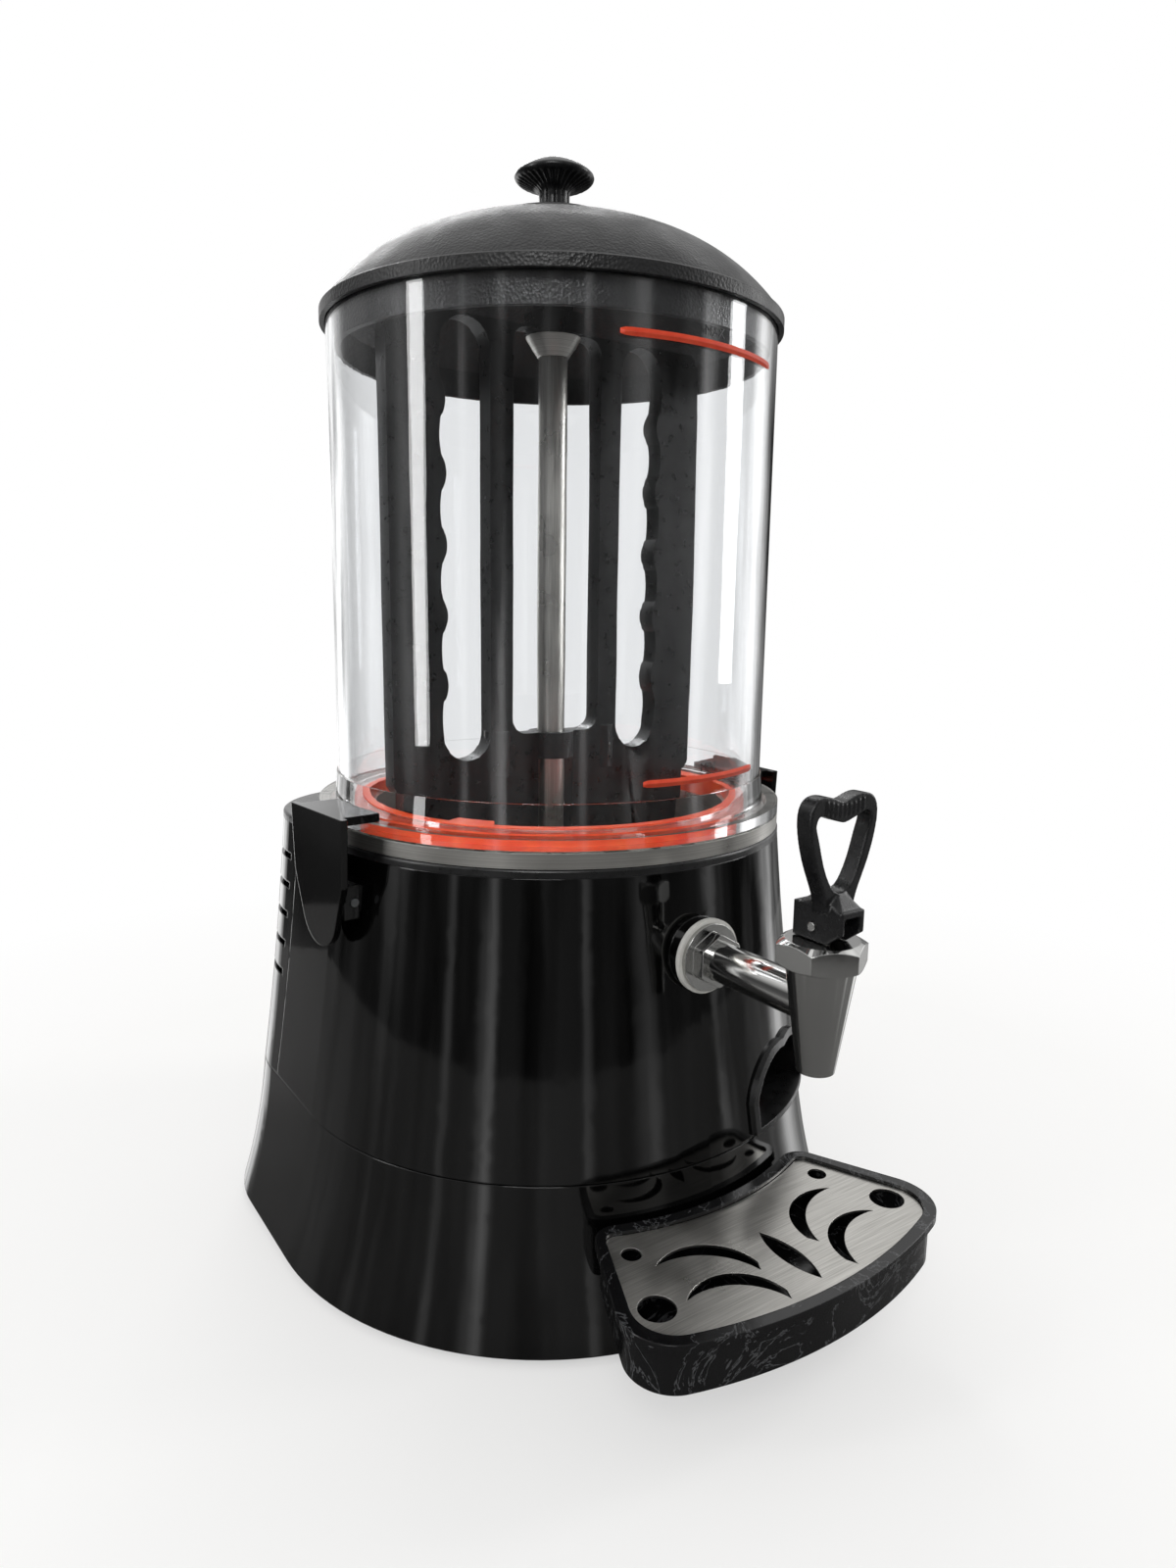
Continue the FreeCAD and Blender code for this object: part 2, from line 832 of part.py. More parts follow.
def pan_cone(inset):
    """Solid inside of the pan, for trimming what stands against its wall."""
    top = deck_top + tank_wall
    points = [(0, pan_floor + inset), (pan_floor_radius - inset, pan_floor + inset),
              (pan_top_radius - inset, top), (pan_top_radius - inset, bowl_top), (0, bowl_top)]
    return turned_solid(points)


def outlet_pipe():
    """Short spout from the pan wall through the water bath, threaded for the tap."""
    length = rod_y(outlet_radius, -tap_seat_reach + outlet_start, -pan_floor_radius / 2, 0, tap_height)
    length = length.cut(pan_cone(0)).common(housing_solid(shell_wall + fit_gap))
    length = length.cut(rod_y(tap_bore_radius, -far, 0, 0, tap_height))
    return length.cut(rod_y(shank_radius + run_gap, -far, -shank_inner_end, 0, tap_height))


def centre_tube():
    return pipe(tube_radius, tube_radius - tube_wall, tank_bottom - tube_below, tube_top)


def shaft_bushes():
    inner = tube_radius - tube_wall - run_gap
    bottom = tank_bottom - tube_below
    lower = pipe(inner, shaft_radius + run_gap, bottom, bottom + bush_length)
    upper = pipe(inner, shaft_radius + run_gap, tube_top - bush_length, tube_top)
    return Part.makeCompound([lower, upper])


def seal_ring():
    outer = bowl_lip_radius + seal_width
    mouth = bowl_lip_radius - seal_gap
    z0 = deck_top + tank_wall + pan_wall
    z1 = bowl_base_top + seal_lip
    points = [(seal_inner_radius, z0), (outer, z0), (outer, ring_top - seat_gap), (mouth, ring_top - seat_gap),
              (mouth, z1), (seal_inner_radius, z1)]
    ring = turned_solid(points)
    for degrees in seal_tab_angles:
        tab = disc(seal_tab_radius, z1 - seal_tab_thickness, z1, 0, -seal_inner_radius)
        tab = tab.common(disc(seal_inner_radius + weld, 0, far))
        tab = tab.cut(disc(seal_inner_radius - seal_tab_tuck, 0, far))
        ring = ring.fuse(turned(tab, degrees))
    return ring.removeSplitter()


def bowl():
    foot = bowl_radius + bowl_foot_step
    z_foot = bowl_base_top + bowl_foot_height
    outer = [(0, ring_top), (bowl_flange_radius, ring_top), (bowl_flange_radius, bowl_base_top),
             (foot, bowl_base_top), (bowl_radius + bowl_foot_top_step, z_foot), (bowl_radius, z_foot),
             (bowl_radius, bowl_top), (0, bowl_top)]
    shape = turned_solid(outer).cut(disc(bowl_radius - bowl_wall, bowl_base_top, bowl_top + over))
    return shape.cut(disc(bowl_lip_radius, ring_top - over, bowl_base_top + over))


def lid_shell():
    seat = lid_seat
    rim = lid_rim_radius
    rim_top = seat - lid_rim_drop + lid_rim_height
    skirt = bowl_radius - bowl_wall - lid_skirt_gap
    shelf = seat - lid_rim_drop
    low = seat - lid_skirt_depth
    dome = lid_top - rim_top
    step_z = lid_top - dome * lid_step_share
    mouth = bowl_radius + lid_mouth_gap
    bevel = rim - lid_rim_bevel
    bevel_top = rim_top + lid_rim_bevel_rise
    mid_rise = rim_top + dome * dome_mid_rise
    edges = [
        line((0, 0, low), (skirt, 0, low)),
        line((skirt, 0, low), (skirt, 0, seat)),
        line((skirt, 0, seat), (mouth, 0, seat)),
        line((mouth, 0, seat), (mouth, 0, shelf)),
        line((mouth, 0, shelf), (rim, 0, shelf)),
        line((rim, 0, shelf), (rim, 0, rim_top)),
        line((rim, 0, rim_top), (bevel, 0, bevel_top)),
        arc((bevel, 0, bevel_top), (rim * dome_mid_share, 0, mid_rise),
            (lid_step_radius + lid_step, 0, step_z - lid_step)),
        line((lid_step_radius + lid_step, 0, step_z - lid_step), (lid_step_radius, 0, step_z)),
        cap_arc(lid_step_radius, step_z, lid_top),
        line((0, 0, lid_top), (0, 0, low)),
    ]
    t = lid_wall
    inner_skirt = skirt - lid_skirt_wall
    hollow = [
        line((0, 0, low - over), (inner_skirt, 0, low - over)),
        line((inner_skirt, 0, low - over), (inner_skirt, 0, rim_top - t)),
        arc((inner_skirt, 0, rim_top - t), (rim * dome_hollow_share, 0, mid_rise - t),
            (lid_step_radius, 0, step_z - lid_step - t)),
        cap_arc(lid_step_radius, step_z - lid_step - t, lid_top - t),
        line((0, 0, lid_top - t), (0, 0, low - over)),
    ]
    shell = spun_edges(edges).cut(spun_edges(hollow))
    return shell.cut(disc(screw_radius + run_gap, low, lid_top + over))


def lid_knob():
    """Mushroom knob: fluted stem under a shallow disc."""
    under = lid_top + knob_stem_height
    top = under + knob_disc_height
    edge = knob_radius - knob_edge_round
    edge_low = under + knob_under_rise
    edge_high = edge_low + knob_edge_height
    edges = [
        line((0, 0, under), (knob_stem_radius, 0, under)),
        line((knob_stem_radius, 0, under), (edge, 0, edge_low)),
        arc((edge, 0, edge_low), (knob_radius, 0, (edge_low + edge_high) / 2), (edge, 0, edge_high)),
        cap_arc(edge, edge_high, top),
        line((0, 0, top), (0, 0, under)),
    ]
    knob = spun_edges(edges).fuse(disc(knob_stem_radius, lid_top, under + weld))
    for i in range(knob_flutes):
        angle = math.radians(360 * i / knob_flutes)
        knob = knob.cut(disc(knob_flute_radius, lid_top - over, under + weld / 2,
                             knob_stem_radius * math.cos(angle), knob_stem_radius * math.sin(angle)))
    return knob.cut(disc(screw_radius + run_gap, 0, under + knob_hole_depth)).removeSplitter()


def knob_screw():
    under = lid_top - lid_wall - knob_screw_gap
    head = disc(screw_head_radius, under - screw_head_height, under)
    return head.fuse(disc(screw_radius, under, lid_top + knob_stem_height + knob_screw_bite))


def wavy_window(side):
    """One window of the stirrer: arched ends and a wavy outer edge."""
    z0 = window_bottom
    z1 = stirrer_top - stirrer_web
    x_in = window_inner
    x_out = window_outer
    radius = (x_out - x_in) / 2
    centre = (x_in + x_out) / 2
    low = z0 + radius
    high = z1 - radius
    edges = [line((x_in, 0, low), (x_in, 0, high))]
    edges.append(arc((x_in, 0, high), (centre, 0, z1), (x_out, 0, high)))
    step = (high - low) / (2 * wave_count + 1)
    for i in range(2 * wave_count + 1):
        z = high - i * step
        bulge = wave_rise if i % 2 == 0 else -wave_depth
        edges.append(arc((x_out, 0, z), (x_out + bulge, 0, z - step / 2), (x_out, 0, z - step)))
    edges.append(arc((x_out, 0, low), (centre, 0, z0), (x_in, 0, low)))
    face = face_of(edges)
    face.translate(vec(0, -stirrer_thickness, 0))
    window = face.extrude(vec(0, 2 * stirrer_thickness, 0))
    return window if side > 0 else mirrored_x(window)


def stirrer_outline():
    w = stirrer_half_width
    r = stirrer_corner
    k = r * (1 - math.sqrt(0.5))
    top = stirrer_top
    waist = stirrer_waist
    shoulder = bowl_base_top + stirrer_shoulder_rise
    neck = stirrer_neck
    foot = pan_floor_radius - blade_clearance - pan_wall
    low = pan_floor + pan_wall + blade_clearance
    edges = [
        line((-w, 0, waist), (-w, 0, top - r)),
        arc((-w, 0, top - r), (-w + k, 0, top - k), (-w + r, 0, top)),
        line((-w + r, 0, top), (w - r, 0, top)),
        arc((w - r, 0, top), (w - k, 0, top - k), (w, 0, top - r)),
        line((w, 0, top - r), (w, 0, waist)),
        line((w, 0, waist), (neck, 0, shoulder)),
        line((neck, 0, shoulder), (neck, 0, ring_top)),
        line((neck, 0, ring_top), (foot, 0, low)),
        line((foot, 0, low), (-foot, 0, low)),
        line((-foot, 0, low), (-neck, 0, ring_top)),
        line((-neck, 0, ring_top), (-neck, 0, shoulder)),
        line((-neck, 0, shoulder), (-w, 0, waist)),
    ]
    face = face_of(edges)
    face.translate(vec(0, -stirrer_thickness / 2, 0))
    return face.extrude(vec(0, stirrer_thickness, 0))


def stirrer_frame():
    frame = stirrer_outline().common(pan_cone(pan_wall + blade_clearance))
    t = stirrer_thickness
    for side in (-1, 1):
        frame = frame.cut(wavy_window(side))
    centre = block(-centre_bar, centre_bar, -t, t, cross_web_top, stirrer_top - stirrer_web)
    centre = centre.makeFillet(centre_corner, [e for e in centre.Edges if e.BoundBox.YLength > t])
    frame = frame.cut(centre)
    slot = block(-blade_hub_half, blade_hub_half, -t, t, pan_floor, cross_web_bottom)
    frame = frame.cut(slot)
    for side in (-1, 1):
        x = side * (centre_bar + window_inner) / 2
        frame = frame.fuse(disc(stirrer_boss_radius, cross_web_bottom - stirrer_boss_below,
                                cross_web_top + stirrer_boss_above, x, 0))
    hub = disc(tube_radius + hub_wall, cross_web_bottom, cross_web_top)
    frame = frame.fuse(hub).cut(disc(tube_radius + fit_gap, 0, far))
    half = coupling_width / 2
    side = half + collar_side
    front = half + collar_front
    frame = frame.fuse(block(-side, side, -front, front, stirrer_top - stirrer_web, stirrer_top))
    frame = frame.cut(block(-half, half, -half, half, stirrer_top - stirrer_web - over, stirrer_top + over))
    return frame.removeSplitter()


def coupling_block():
    half = coupling_width / 2
    piece = block(-half, half, -half, half, tube_top + cup_height, coupling_top)
    piece = piece.makeFillet(coupling_round, [e for e in piece.Edges if e.BoundBox.ZLength > coupling_round])
    return piece.cut(disc(shaft_radius, 0, coupling_top - coupling_cap))


def drive_cup():
    """Flared steel cup that turns on top of the centre tube."""
    z0 = tube_top + fit_gap
    z1 = tube_top + cup_height
    outer = Part.makeCone(tube_radius + cup_neck, cup_radius, z1 - z0, vec(0, 0, z0))
    inner = Part.makeCone(tube_radius - cup_neck, cup_radius - cup_wall, z1 - z0 - cup_floor,
                          vec(0, 0, z0 + cup_floor))
    cup = outer.cut(inner)
    hub = disc(tube_radius, z0, z1)
    return cup.fuse(hub).cut(disc(shaft_radius, z0 - over, z1 + over)).removeSplitter()


def drive_shaft():
    return disc(shaft_radius, gearbox_top - shaft_bite, coupling_top - coupling_cap)


def gearbox():
    body = disc(gearbox_radius, motor_top, gearbox_top)
    body = body.makeFillet(gearbox_round, body.Edges[:1])
    collar_top = gearbox_top + bracket_thickness + gearbox_collar_rise
    body = body.fuse(disc(gearbox_collar_radius, gearbox_top, collar_top))
    return body.cut(disc(shaft_radius + run_gap, gearbox_top - shaft_bite - over, collar_top + over))


def drive_motor():
    body = disc(motor_radius, motor_top - motor_length, motor_top)
    return body.makeFillet(motor_round, body.Edges[2:3])


def motor_bracket():
    z0 = gearbox_top
    plate = block(-bracket_half_x, bracket_half_x, -bracket_half_y, bracket_half_y, z0, z0 + bracket_thickness)
    plate = plate.makeFillet(bracket_corner, [e for e in plate.Edges if e.BoundBox.ZLength > bracket_thickness - tol])
    return plate.cut(disc(gearbox_collar_radius + run_gap, 0, far))


def bracket_posts():
    posts = []
    for x in (-post_x, post_x):
        for y in (-post_y, post_y):
            posts.append(disc(post_radius, plate_top, gearbox_top, x, y))
    return Part.makeCompound(posts)


def heater_ends():
    """Feet of the heating element, behind the shaft."""
    half = math.radians((360 - heater_sweep) / 2)
    ends = []
    for side in (-1, 1):
        ends.append((side * heater_ring_radius * math.sin(half), heater_ring_radius * math.cos(half)))
    return ends


def heating_element():
    start = (360 - heater_sweep) / 2
    section = Part.Face(Part.Wire(Part.makeCircle(heater_tube_radius, vec(heater_ring_radius, 0, heater_height),
                                                  vec(0, 1, 0))))
    ring = section.revolve(vec(0, 0, 0), vec(0, 0, 1), heater_sweep)
    ring = turned(ring, 90 + start)
    pieces = [ring]
    for x, y in heater_ends():
        pieces.append(Part.makeSphere(heater_tube_radius, vec(x, y, heater_height)))
        pieces.append(disc(heater_tube_radius, gearbox_top - heater_foot_drop, heater_height, x, y))
    return fused(pieces)


def overheat_cutout():
    z1 = tank_bottom - cutout_height
    can = disc(cutout_radius, z1, tank_bottom, cutout_x, cutout_y)
    return can.fuse(block(cutout_x - cutout_tab_half_x, cutout_x + cutout_tab_half_x, cutout_y - cutout_tab_half_y,
                          cutout_y + cutout_tab_half_y, z1 - cutout_tab_height, z1))


def panel_piece(shape):
    """Turn a piece made for the middle of the front to the control panel's place."""
    return turned(shape, panel_angle)


def control_panel():
    frame = panel_prism(panel_half_width, panel_bottom, panel_height, panel_back_reach).common(hood_limit())
    recess = panel_prism(panel_half_width - panel_frame, panel_bottom + panel_sill,
                         panel_height - panel_sill - panel_frame, panel_face_reach)
    frame = frame.cut(recess)
    holes = [rod_y(spindle_radius + run_gap, -far, 0, dial_x, dial_z)]
    holes.append(rocker_opening(-far, 0))
    for z in lamp_heights():
        holes.append(rod_y(lamp_radius + run_gap, -far, 0, lamp_x, z))
    for hole in holes:
        frame = frame.cut(panel_piece(hole))
    return frame.removeSplitter()


def hood_limit():
    """The upper body grown outwards, which limits how far the panel's hood stands out."""
    return housing_solid(-panel_proud)


def rocker_opening(y0, y1):
    side = rocker_half_width + fit_gap
    rise = rocker_half_height + fit_gap
    return block(rocker_x - side, rocker_x + side, y0, y1, dial_z - rise, dial_z + rise)


def lamp_heights():
    return [dial_z - lamp_spacing / 2, dial_z + lamp_spacing / 2]


def signal_lamps():
    lamps = []
    for z in lamp_heights():
        lens = rod_y(lamp_radius, -panel_face_reach - lamp_proud, -panel_face_reach + lamp_depth, lamp_x, z)
        lamps.append(panel_piece(lens))
    return Part.makeCompound(lamps)


def thermostat_dial():
    back = -panel_face_reach - fit_gap
    front = back - dial_length
    knob = rod_y(dial_radius, front, back, dial_x, dial_z)
    knob = knob.makeFillet(dial_round, [e for e in knob.Edges if e.BoundBox.YMax < front + tol])
    for i in range(dial_grooves):
        angle = math.radians(360 * i / dial_grooves)
        x = dial_x + (dial_radius + dial_groove_offset) * math.cos(angle)
        z = dial_z + (dial_radius + dial_groove_offset) * math.sin(angle)
        knob = knob.cut(rod_y(dial_groove_radius, front - over, back - dial_groove_stop, x, z))
    spindle = rod_y(spindle_radius, back - weld, -panel_back_reach + spindle_depth, dial_x, dial_z)
    return panel_piece(knob.fuse(spindle).removeSplitter())


def thermostat_body():
    back = -panel_back_reach
    body = block(dial_x - thermostat_half_width, dial_x + thermostat_half_width, back, back + thermostat_depth,
                 dial_z - thermostat_half_height, dial_z + thermostat_half_height)
    bore = rod_y(spindle_radius + run_gap, back - over, back + spindle_depth + over, dial_x, dial_z)
    return panel_piece(body.cut(bore))


def power_rocker():
    """Rocker cap that tilts about a side-to-side axis just behind the panel's face."""
    z0 = dial_z - rocker_half_height + rocker_trim
    z1 = dial_z + rocker_half_height - rocker_trim
    x = rocker_x - rocker_half_width
    face_y = -panel_face_reach
    edges = [
        line((x, face_y + rocker_sunk, z0), (x, face_y - rocker_low, z0)),
        line((x, face_y - rocker_low, z0), (x, face_y - rocker_middle, dial_z)),
        line((x, face_y - rocker_middle, dial_z), (x, face_y - rocker_high, z1)),
        line((x, face_y - rocker_high, z1), (x, face_y + rocker_sunk, z1)),
        line((x, face_y + rocker_sunk, z1), (x, face_y + rocker_sunk, z0)),
    ]
    return panel_piece(face_of(edges).extrude(vec(2 * rocker_half_width, 0, 0)))


def switch_body():
    back = -panel_back_reach
    body = block(rocker_x - switch_half_width, rocker_x + switch_half_width, back, back + switch_depth,
                 dial_z - switch_half_height, dial_z + switch_half_height)
    return panel_piece(body.cut(rocker_opening(back - over, back + switch_mouth)))


def latch_pivot(radius, half):
    """A rod along the pivot of a latch, in the latch's own frame."""
    return Part.makeCylinder(radius, 2 * half, vec(latch_pivot_reach, -half, latch_pivot_height), vec(0, 1, 0))


def latch_plate():
    """Latch in its own frame: tongue, side webs and the hook over the bowl's flange."""
    r0 = latch_plate_reach
    r1 = r0 + latch_plate_thickness
    w = latch_half_width
    m = latch_mid_half_width
    n = latch_low_half_width
    shoulder = latch_pivot_height + latch_shoulder_rise
    tip = latch_bottom + latch_tip_rise
    top = latch_top + latch_hook_thickness
    edges = [
        line((r0, -w, top), (r0, w, top)),
        line((r0, w, top), (r0, m, shoulder)),
        line((r0, m, shoulder), (r0, n, tip)),
        arc((r0, n, tip), (r0, 0, latch_bottom), (r0, -n, tip)),
        line((r0, -n, tip), (r0, -m, shoulder)),
        line((r0, -m, shoulder), (r0, -w, top)),
    ]
    tongue = face_of(edges).extrude(vec(latch_plate_thickness, 0, 0))
    hook = block(latch_hook_inner, r1, -latch_hook_half_width, latch_hook_half_width, latch_top, top)
    hook = hook.cut(disc(latch_hook_inner + latch_hook_trim, 0, far))
    pieces = [tongue, hook]
    for side in (-1, 1):
        y0 = side * latch_web_half - latch_web_thickness / 2
        pieces.append(block(latch_pivot_reach - latch_web_inset, r0 + weld / 2, y0, y0 + latch_web_thickness,
                            latch_pivot_height - latch_web_rise, latch_pivot_height + latch_web_rise))
    return fused(pieces).cut(latch_pivot(latch_pin_radius + run_gap, latch_half_width))


def latch_left():
    return latch_place(latch_plate(), -1)


def latch_right():
    return latch_place(latch_plate(), 1)


def latch_pin():
    return latch_pivot(latch_pin_radius, latch_web_half + latch_web_thickness / 2 + latch_pin_proud)


def latch_brackets():
    outside = housing_solid(0)
    return Part.makeCompound([latch_place(latch_lug(), side).cut(outside) for side in (-1, 1)])


def latch_pins():
    return Part.makeCompound([latch_place(latch_pin(), side) for side in (-1, 1)])


def tap_washer():
    ring = rod_y(washer_radius, -tap_seat_reach - washer_thickness, -tap_seat_reach, 0, tap_height)
    return ring.cut(rod_y(shank_radius + run_gap, -far, 0, 0, tap_height))


def tap_nut():
    y1 = -tap_seat_reach - washer_thickness
    face = hex_face(nut_across_flats)
    face.rotate(vec(0, 0, 0), vec(1, 0, 0), 90)
    face.translate(vec(0, y1, tap_height))
    nut = face.extrude(vec(0, -nut_thickness, 0))
    nut = nut.common(rod_y(nut_corner_radius, y1 - nut_thickness, y1, 0, tap_height))
    nut = nut.fuse(rod_y(nut_flange_radius, y1 - nut_flange_thickness, y1, 0, tap_height))
    return nut.cut(rod_y(shank_radius + run_gap, -far, 0, 0, tap_height))


def tap_body():
    y = -tap_reach
    shank = rod_y(shank_radius, y, -shank_inner_end, 0, tap_height)
    cone = Part.makeCone(nozzle_radius, tap_body_radius, tap_body_top - nozzle_bottom, vec(0, y, nozzle_bottom))
    body = shank.fuse(cone)
    body = body.cut(disc(tap_bore_radius, nozzle_bottom - over, seat_height, 0, y))
    body = body.cut(disc(chamber_radius, seat_height, tap_body_top + over, 0, y))
    passage = rod_y(tap_bore_radius, y + passage_start, -shank_inner_end + over, 0, tap_height)
    return body.cut(passage).removeSplitter()


def tap_bonnet():
    y = -tap_reach
    face = hex_face(2 * bonnet_radius * math.cos(math.pi / hex_sides))
    face.translate(vec(0, y, tap_body_top))
    bonnet = face.extrude(vec(0, 0, bonnet_height))
    wide = bonnet_radius + bonnet_flare
    crown = bonnet_top - bonnet_crown
    rounding = Part.makeCone(bonnet_radius - bonnet_flare, wide, bonnet_low, vec(0, y, tap_body_top))
    rounding = rounding.fuse(disc(wide, tap_body_top + bonnet_low, crown, 0, y))
    rounding = rounding.fuse(Part.makeCone(wide, bonnet_radius - bonnet_crown, bonnet_crown, vec(0, y, crown)))
    bonnet = bonnet.common(rounding)
    bonnet = bonnet.cut(disc(chamber_radius, tap_body_top - over, bonnet_top - bonnet_wall, 0, y))
    return bonnet.cut(disc(stem_radius + run_gap, 0, far, 0, y))


def tap_stem():
    y = -tap_reach
    stem = disc(stem_radius, seat_height + plug_height, pin_height + stem_head, 0, y)
    return stem.cut(rod_x(tap_pin_radius + run_gap, -far, far, y, pin_height))


def tap_plug():
    return disc(plug_radius, seat_height + seat_gap, seat_height + plug_height, 0, -tap_reach)


def loop_outline(points, z0, closed):
    """Smooth line through points given as half width and rise, and through their mirror image."""
    right = [vec(x, 0, z0 + z) for x, z in points]
    left = [vec(-x, 0, z0 + z) for x, z in reversed(points) if x > 0]
    curve = Part.BSplineCurve()
    curve.interpolate(right + left, PeriodicFlag=closed)
    return curve.toShape()


def handle_loop(z0):
    """Heart-shaped loop with a dip in its top, thin in front view and deep from front to back."""
    first = loop_outside[0]
    outside = loop_outline(loop_outside, z0, False)
    foot = line((-first[0], 0, z0 + first[1]), (first[0], 0, z0 + first[1]))
    eye = Part.Face(Part.Wire([loop_outline(loop_inside, z0, True)]))
    loop = Part.Face(Part.Wire([outside, foot])).cut(eye)
    loop.translate(vec(0, -tap_reach - loop_front, 0))
    return loop.extrude(vec(0, loop_front - loop_rear, 0))


def tap_handle():
    """Lever with a cam foot that rides on the bonnet, and a loop to pull."""
    y = -tap_reach
    z0 = bonnet_top + fit_gap
    front = y - handle_front
    rear = y + handle_rear
    top = z0 + handle_block_height
    cam = y - handle_cam_reach
    edges = [
        line((0, cam, z0), (0, rear, z0)),
        line((0, rear, z0), (0, rear, top)),
        line((0, rear, top), (0, front, top)),
        line((0, front, top), (0, front, z0 + handle_cam_rise)),
        line((0, front, z0 + handle_cam_rise), (0, cam, z0)),
    ]
    foot = face_of(edges)
    foot.translate(vec(-handle_half_width, 0, 0))
    foot = foot.extrude(vec(2 * handle_half_width, 0, 0))
    slot = block(-handle_slot_half, handle_slot_half, front - over, y + handle_slot_rear, z0 - over,
                 pin_height + handle_slot_rise)
    handle = foot.fuse(handle_loop(z0)).cut(slot)
    return handle.cut(rod_x(tap_pin_radius, -far, far, y, pin_height)).removeSplitter()


def tap_pin():
    half = handle_half_width + tap_pin_proud
    return rod_x(tap_pin_radius, -half, half, -tap_reach, pin_height)


def uprights_at(shape, x, y):
    """The upright edges of a prism that stand at a place or at its mirror image."""
    found = []
    for edge in shape.Edges:
        box = edge.BoundBox
        if box.XLength + box.YLength < tol and abs(abs(box.XMin) - x) + abs(box.YMin - y) < tol:
            found.append(edge)
    return found


def sector_prism(inner, outer, half_angle, near_corner, far_corner, z0, z1):
    """A piece of a ring in front of the housing, with rounded corners."""
    a = math.radians(half_angle)
    near_left = (-inner * math.sin(a), -inner * math.cos(a), z0)
    near_right = (inner * math.sin(a), -inner * math.cos(a), z0)
    far_left = (-outer * math.sin(a), -outer * math.cos(a), z0)
    far_right = (outer * math.sin(a), -outer * math.cos(a), z0)
    edges = [
        arc(near_left, (0, -inner, z0), near_right),
        line(near_right, far_right),
        arc(far_right, (0, -outer, z0), far_left),
        line(far_left, near_left),
    ]
    prism = face_of(edges).extrude(vec(0, 0, z1 - z0))
    prism = prism.makeFillet(far_corner, uprights_at(prism, far_right[0], far_right[1]))
    return prism.makeFillet(near_corner, uprights_at(prism, near_right[0], near_right[1]))


def drip_tray():
    body = tray_prism(0, tray_bottom, tray_top - tray_rim_height)
    body = body.fuse(tray_prism(-tray_rim, tray_top - tray_rim_height, tray_top))
    hollow = tray_prism(tray_wall, tray_bottom + tray_wall, tray_top + over)
    body = body.cut(hollow)
    ledge_top = tray_top - grid_drop - grid_thickness - seat_gap
    ledges = tray_prism(tray_wall - ledge_root, ledge_top - ledge_height, ledge_top)
    ledges = ledges.cut(tray_prism(tray_wall + ledge_depth, 0, far))
    keep = []
    for degrees in (-ledge_turn, 0, ledge_turn):
        keep.append(turned(block(-ledge_half_width, ledge_half_width, -far, 0, 0, far), degrees))
    body = body.fuse(ledges.common(keep[0].fuse(keep[1]).fuse(keep[2])))
    for side in (-1, 1):
        x0 = side * hook_x - hook_half_width
        z0 = tray_bottom + hook_rise
        tab = block(x0, x0 + 2 * hook_half_width, -tray_inner_reach, -seam_half_width + hook_tuck,
                    z0, z0 + hook_height)
        tab = tab.cut(tray_prism(tray_wall, 0, far))
        body = body.fuse(tab)
    return body.removeSplitter()


def tray_prism(inset, z0, z1):
    inner = tray_inner_reach + inset
    outer = tray_outer_reach - inset
    shrink = math.degrees(inset / ((tray_inner_reach + tray_outer_reach) / 2))
    near_corner = max(tray_near_corner - inset, tray_least_corner)
    far_corner = max(tray_corner - inset, tray_least_corner)
    return sector_prism(inner, outer, tray_half_angle - shrink, near_corner, far_corner, z0, z1)


def grid_point(reach, degrees, side=1):
    """A point of the grid, given by its reach from the near edge and its turn from the middle."""
    angle = math.radians(side * degrees)
    r = tray_inner_reach + reach
    return vec(r * math.sin(angle), -r * math.cos(angle), 0)


def crescent(places, side):
    """A curved slot through three places: its tip, its bulge and its far end."""
    tip, bulge, end = [grid_point(reach, degrees, side) for reach, degrees in places]
    chord = (end - tip).normalize()
    normal = vec(-chord.y, chord.x, 0)
    if (bulge - (tip + end) * 0.5).dot(normal) < 0:
        normal = normal * -1
    edges = [
        Part.Arc(tip, bulge, end).toShape(),
        Part.makeLine(end, end - normal * crescent_end),
        Part.Arc(end - normal * crescent_end, bulge - normal * crescent_width, tip).toShape(),
    ]
    return Part.Face(Part.Wire(edges))


def leaf():
    start = grid_point(leaf_start, 0)
    end = grid_point(leaf_end, 0)
    side = vec(leaf_half_width, 0, 0)
    middle = (start + end) * 0.5
    edges = [Part.Arc(start, middle + side, end).toShape(), Part.Arc(end, middle - side, start).toShape()]
    return Part.Face(Part.Wire(edges))


def drip_grid():
    z1 = tray_top - grid_drop
    z0 = z1 - grid_thickness
    plate = tray_prism(tray_wall + fit_gap, z0, z1)
    faces = [leaf()]
    for side in (-1, 1):
        for place, radius in ((small_hole, small_hole_radius), (large_hole, large_hole_radius)):
            centre = grid_point(place[0], place[1], side)
            plate = plate.cut(disc(radius, z0 - over, z1 + over, centre.x, centre.y))
        faces.append(crescent(near_crescent, side))
        faces.append(crescent(far_crescent, side))
    for face in faces:
        face.translate(vec(0, 0, z0 - over))
        plate = plate.cut(face.extrude(vec(0, 0, grid_thickness + 2 * over)))
    return plate


def terminal_block():
    z1 = plate_top + terminal_height
    body = block(terminal_x - terminal_half_x, terminal_x + terminal_half_x, terminal_y - terminal_half_y,
                 terminal_y + terminal_half_y, plate_top, z1)
    for i in range(terminal_count):
        x = terminal_x + (i - (terminal_count - 1) / 2) * terminal_pitch
        body = body.cut(disc(terminal_hole_radius, plate_top + terminal_hole_floor, z1 + over, x, terminal_y))
    return body


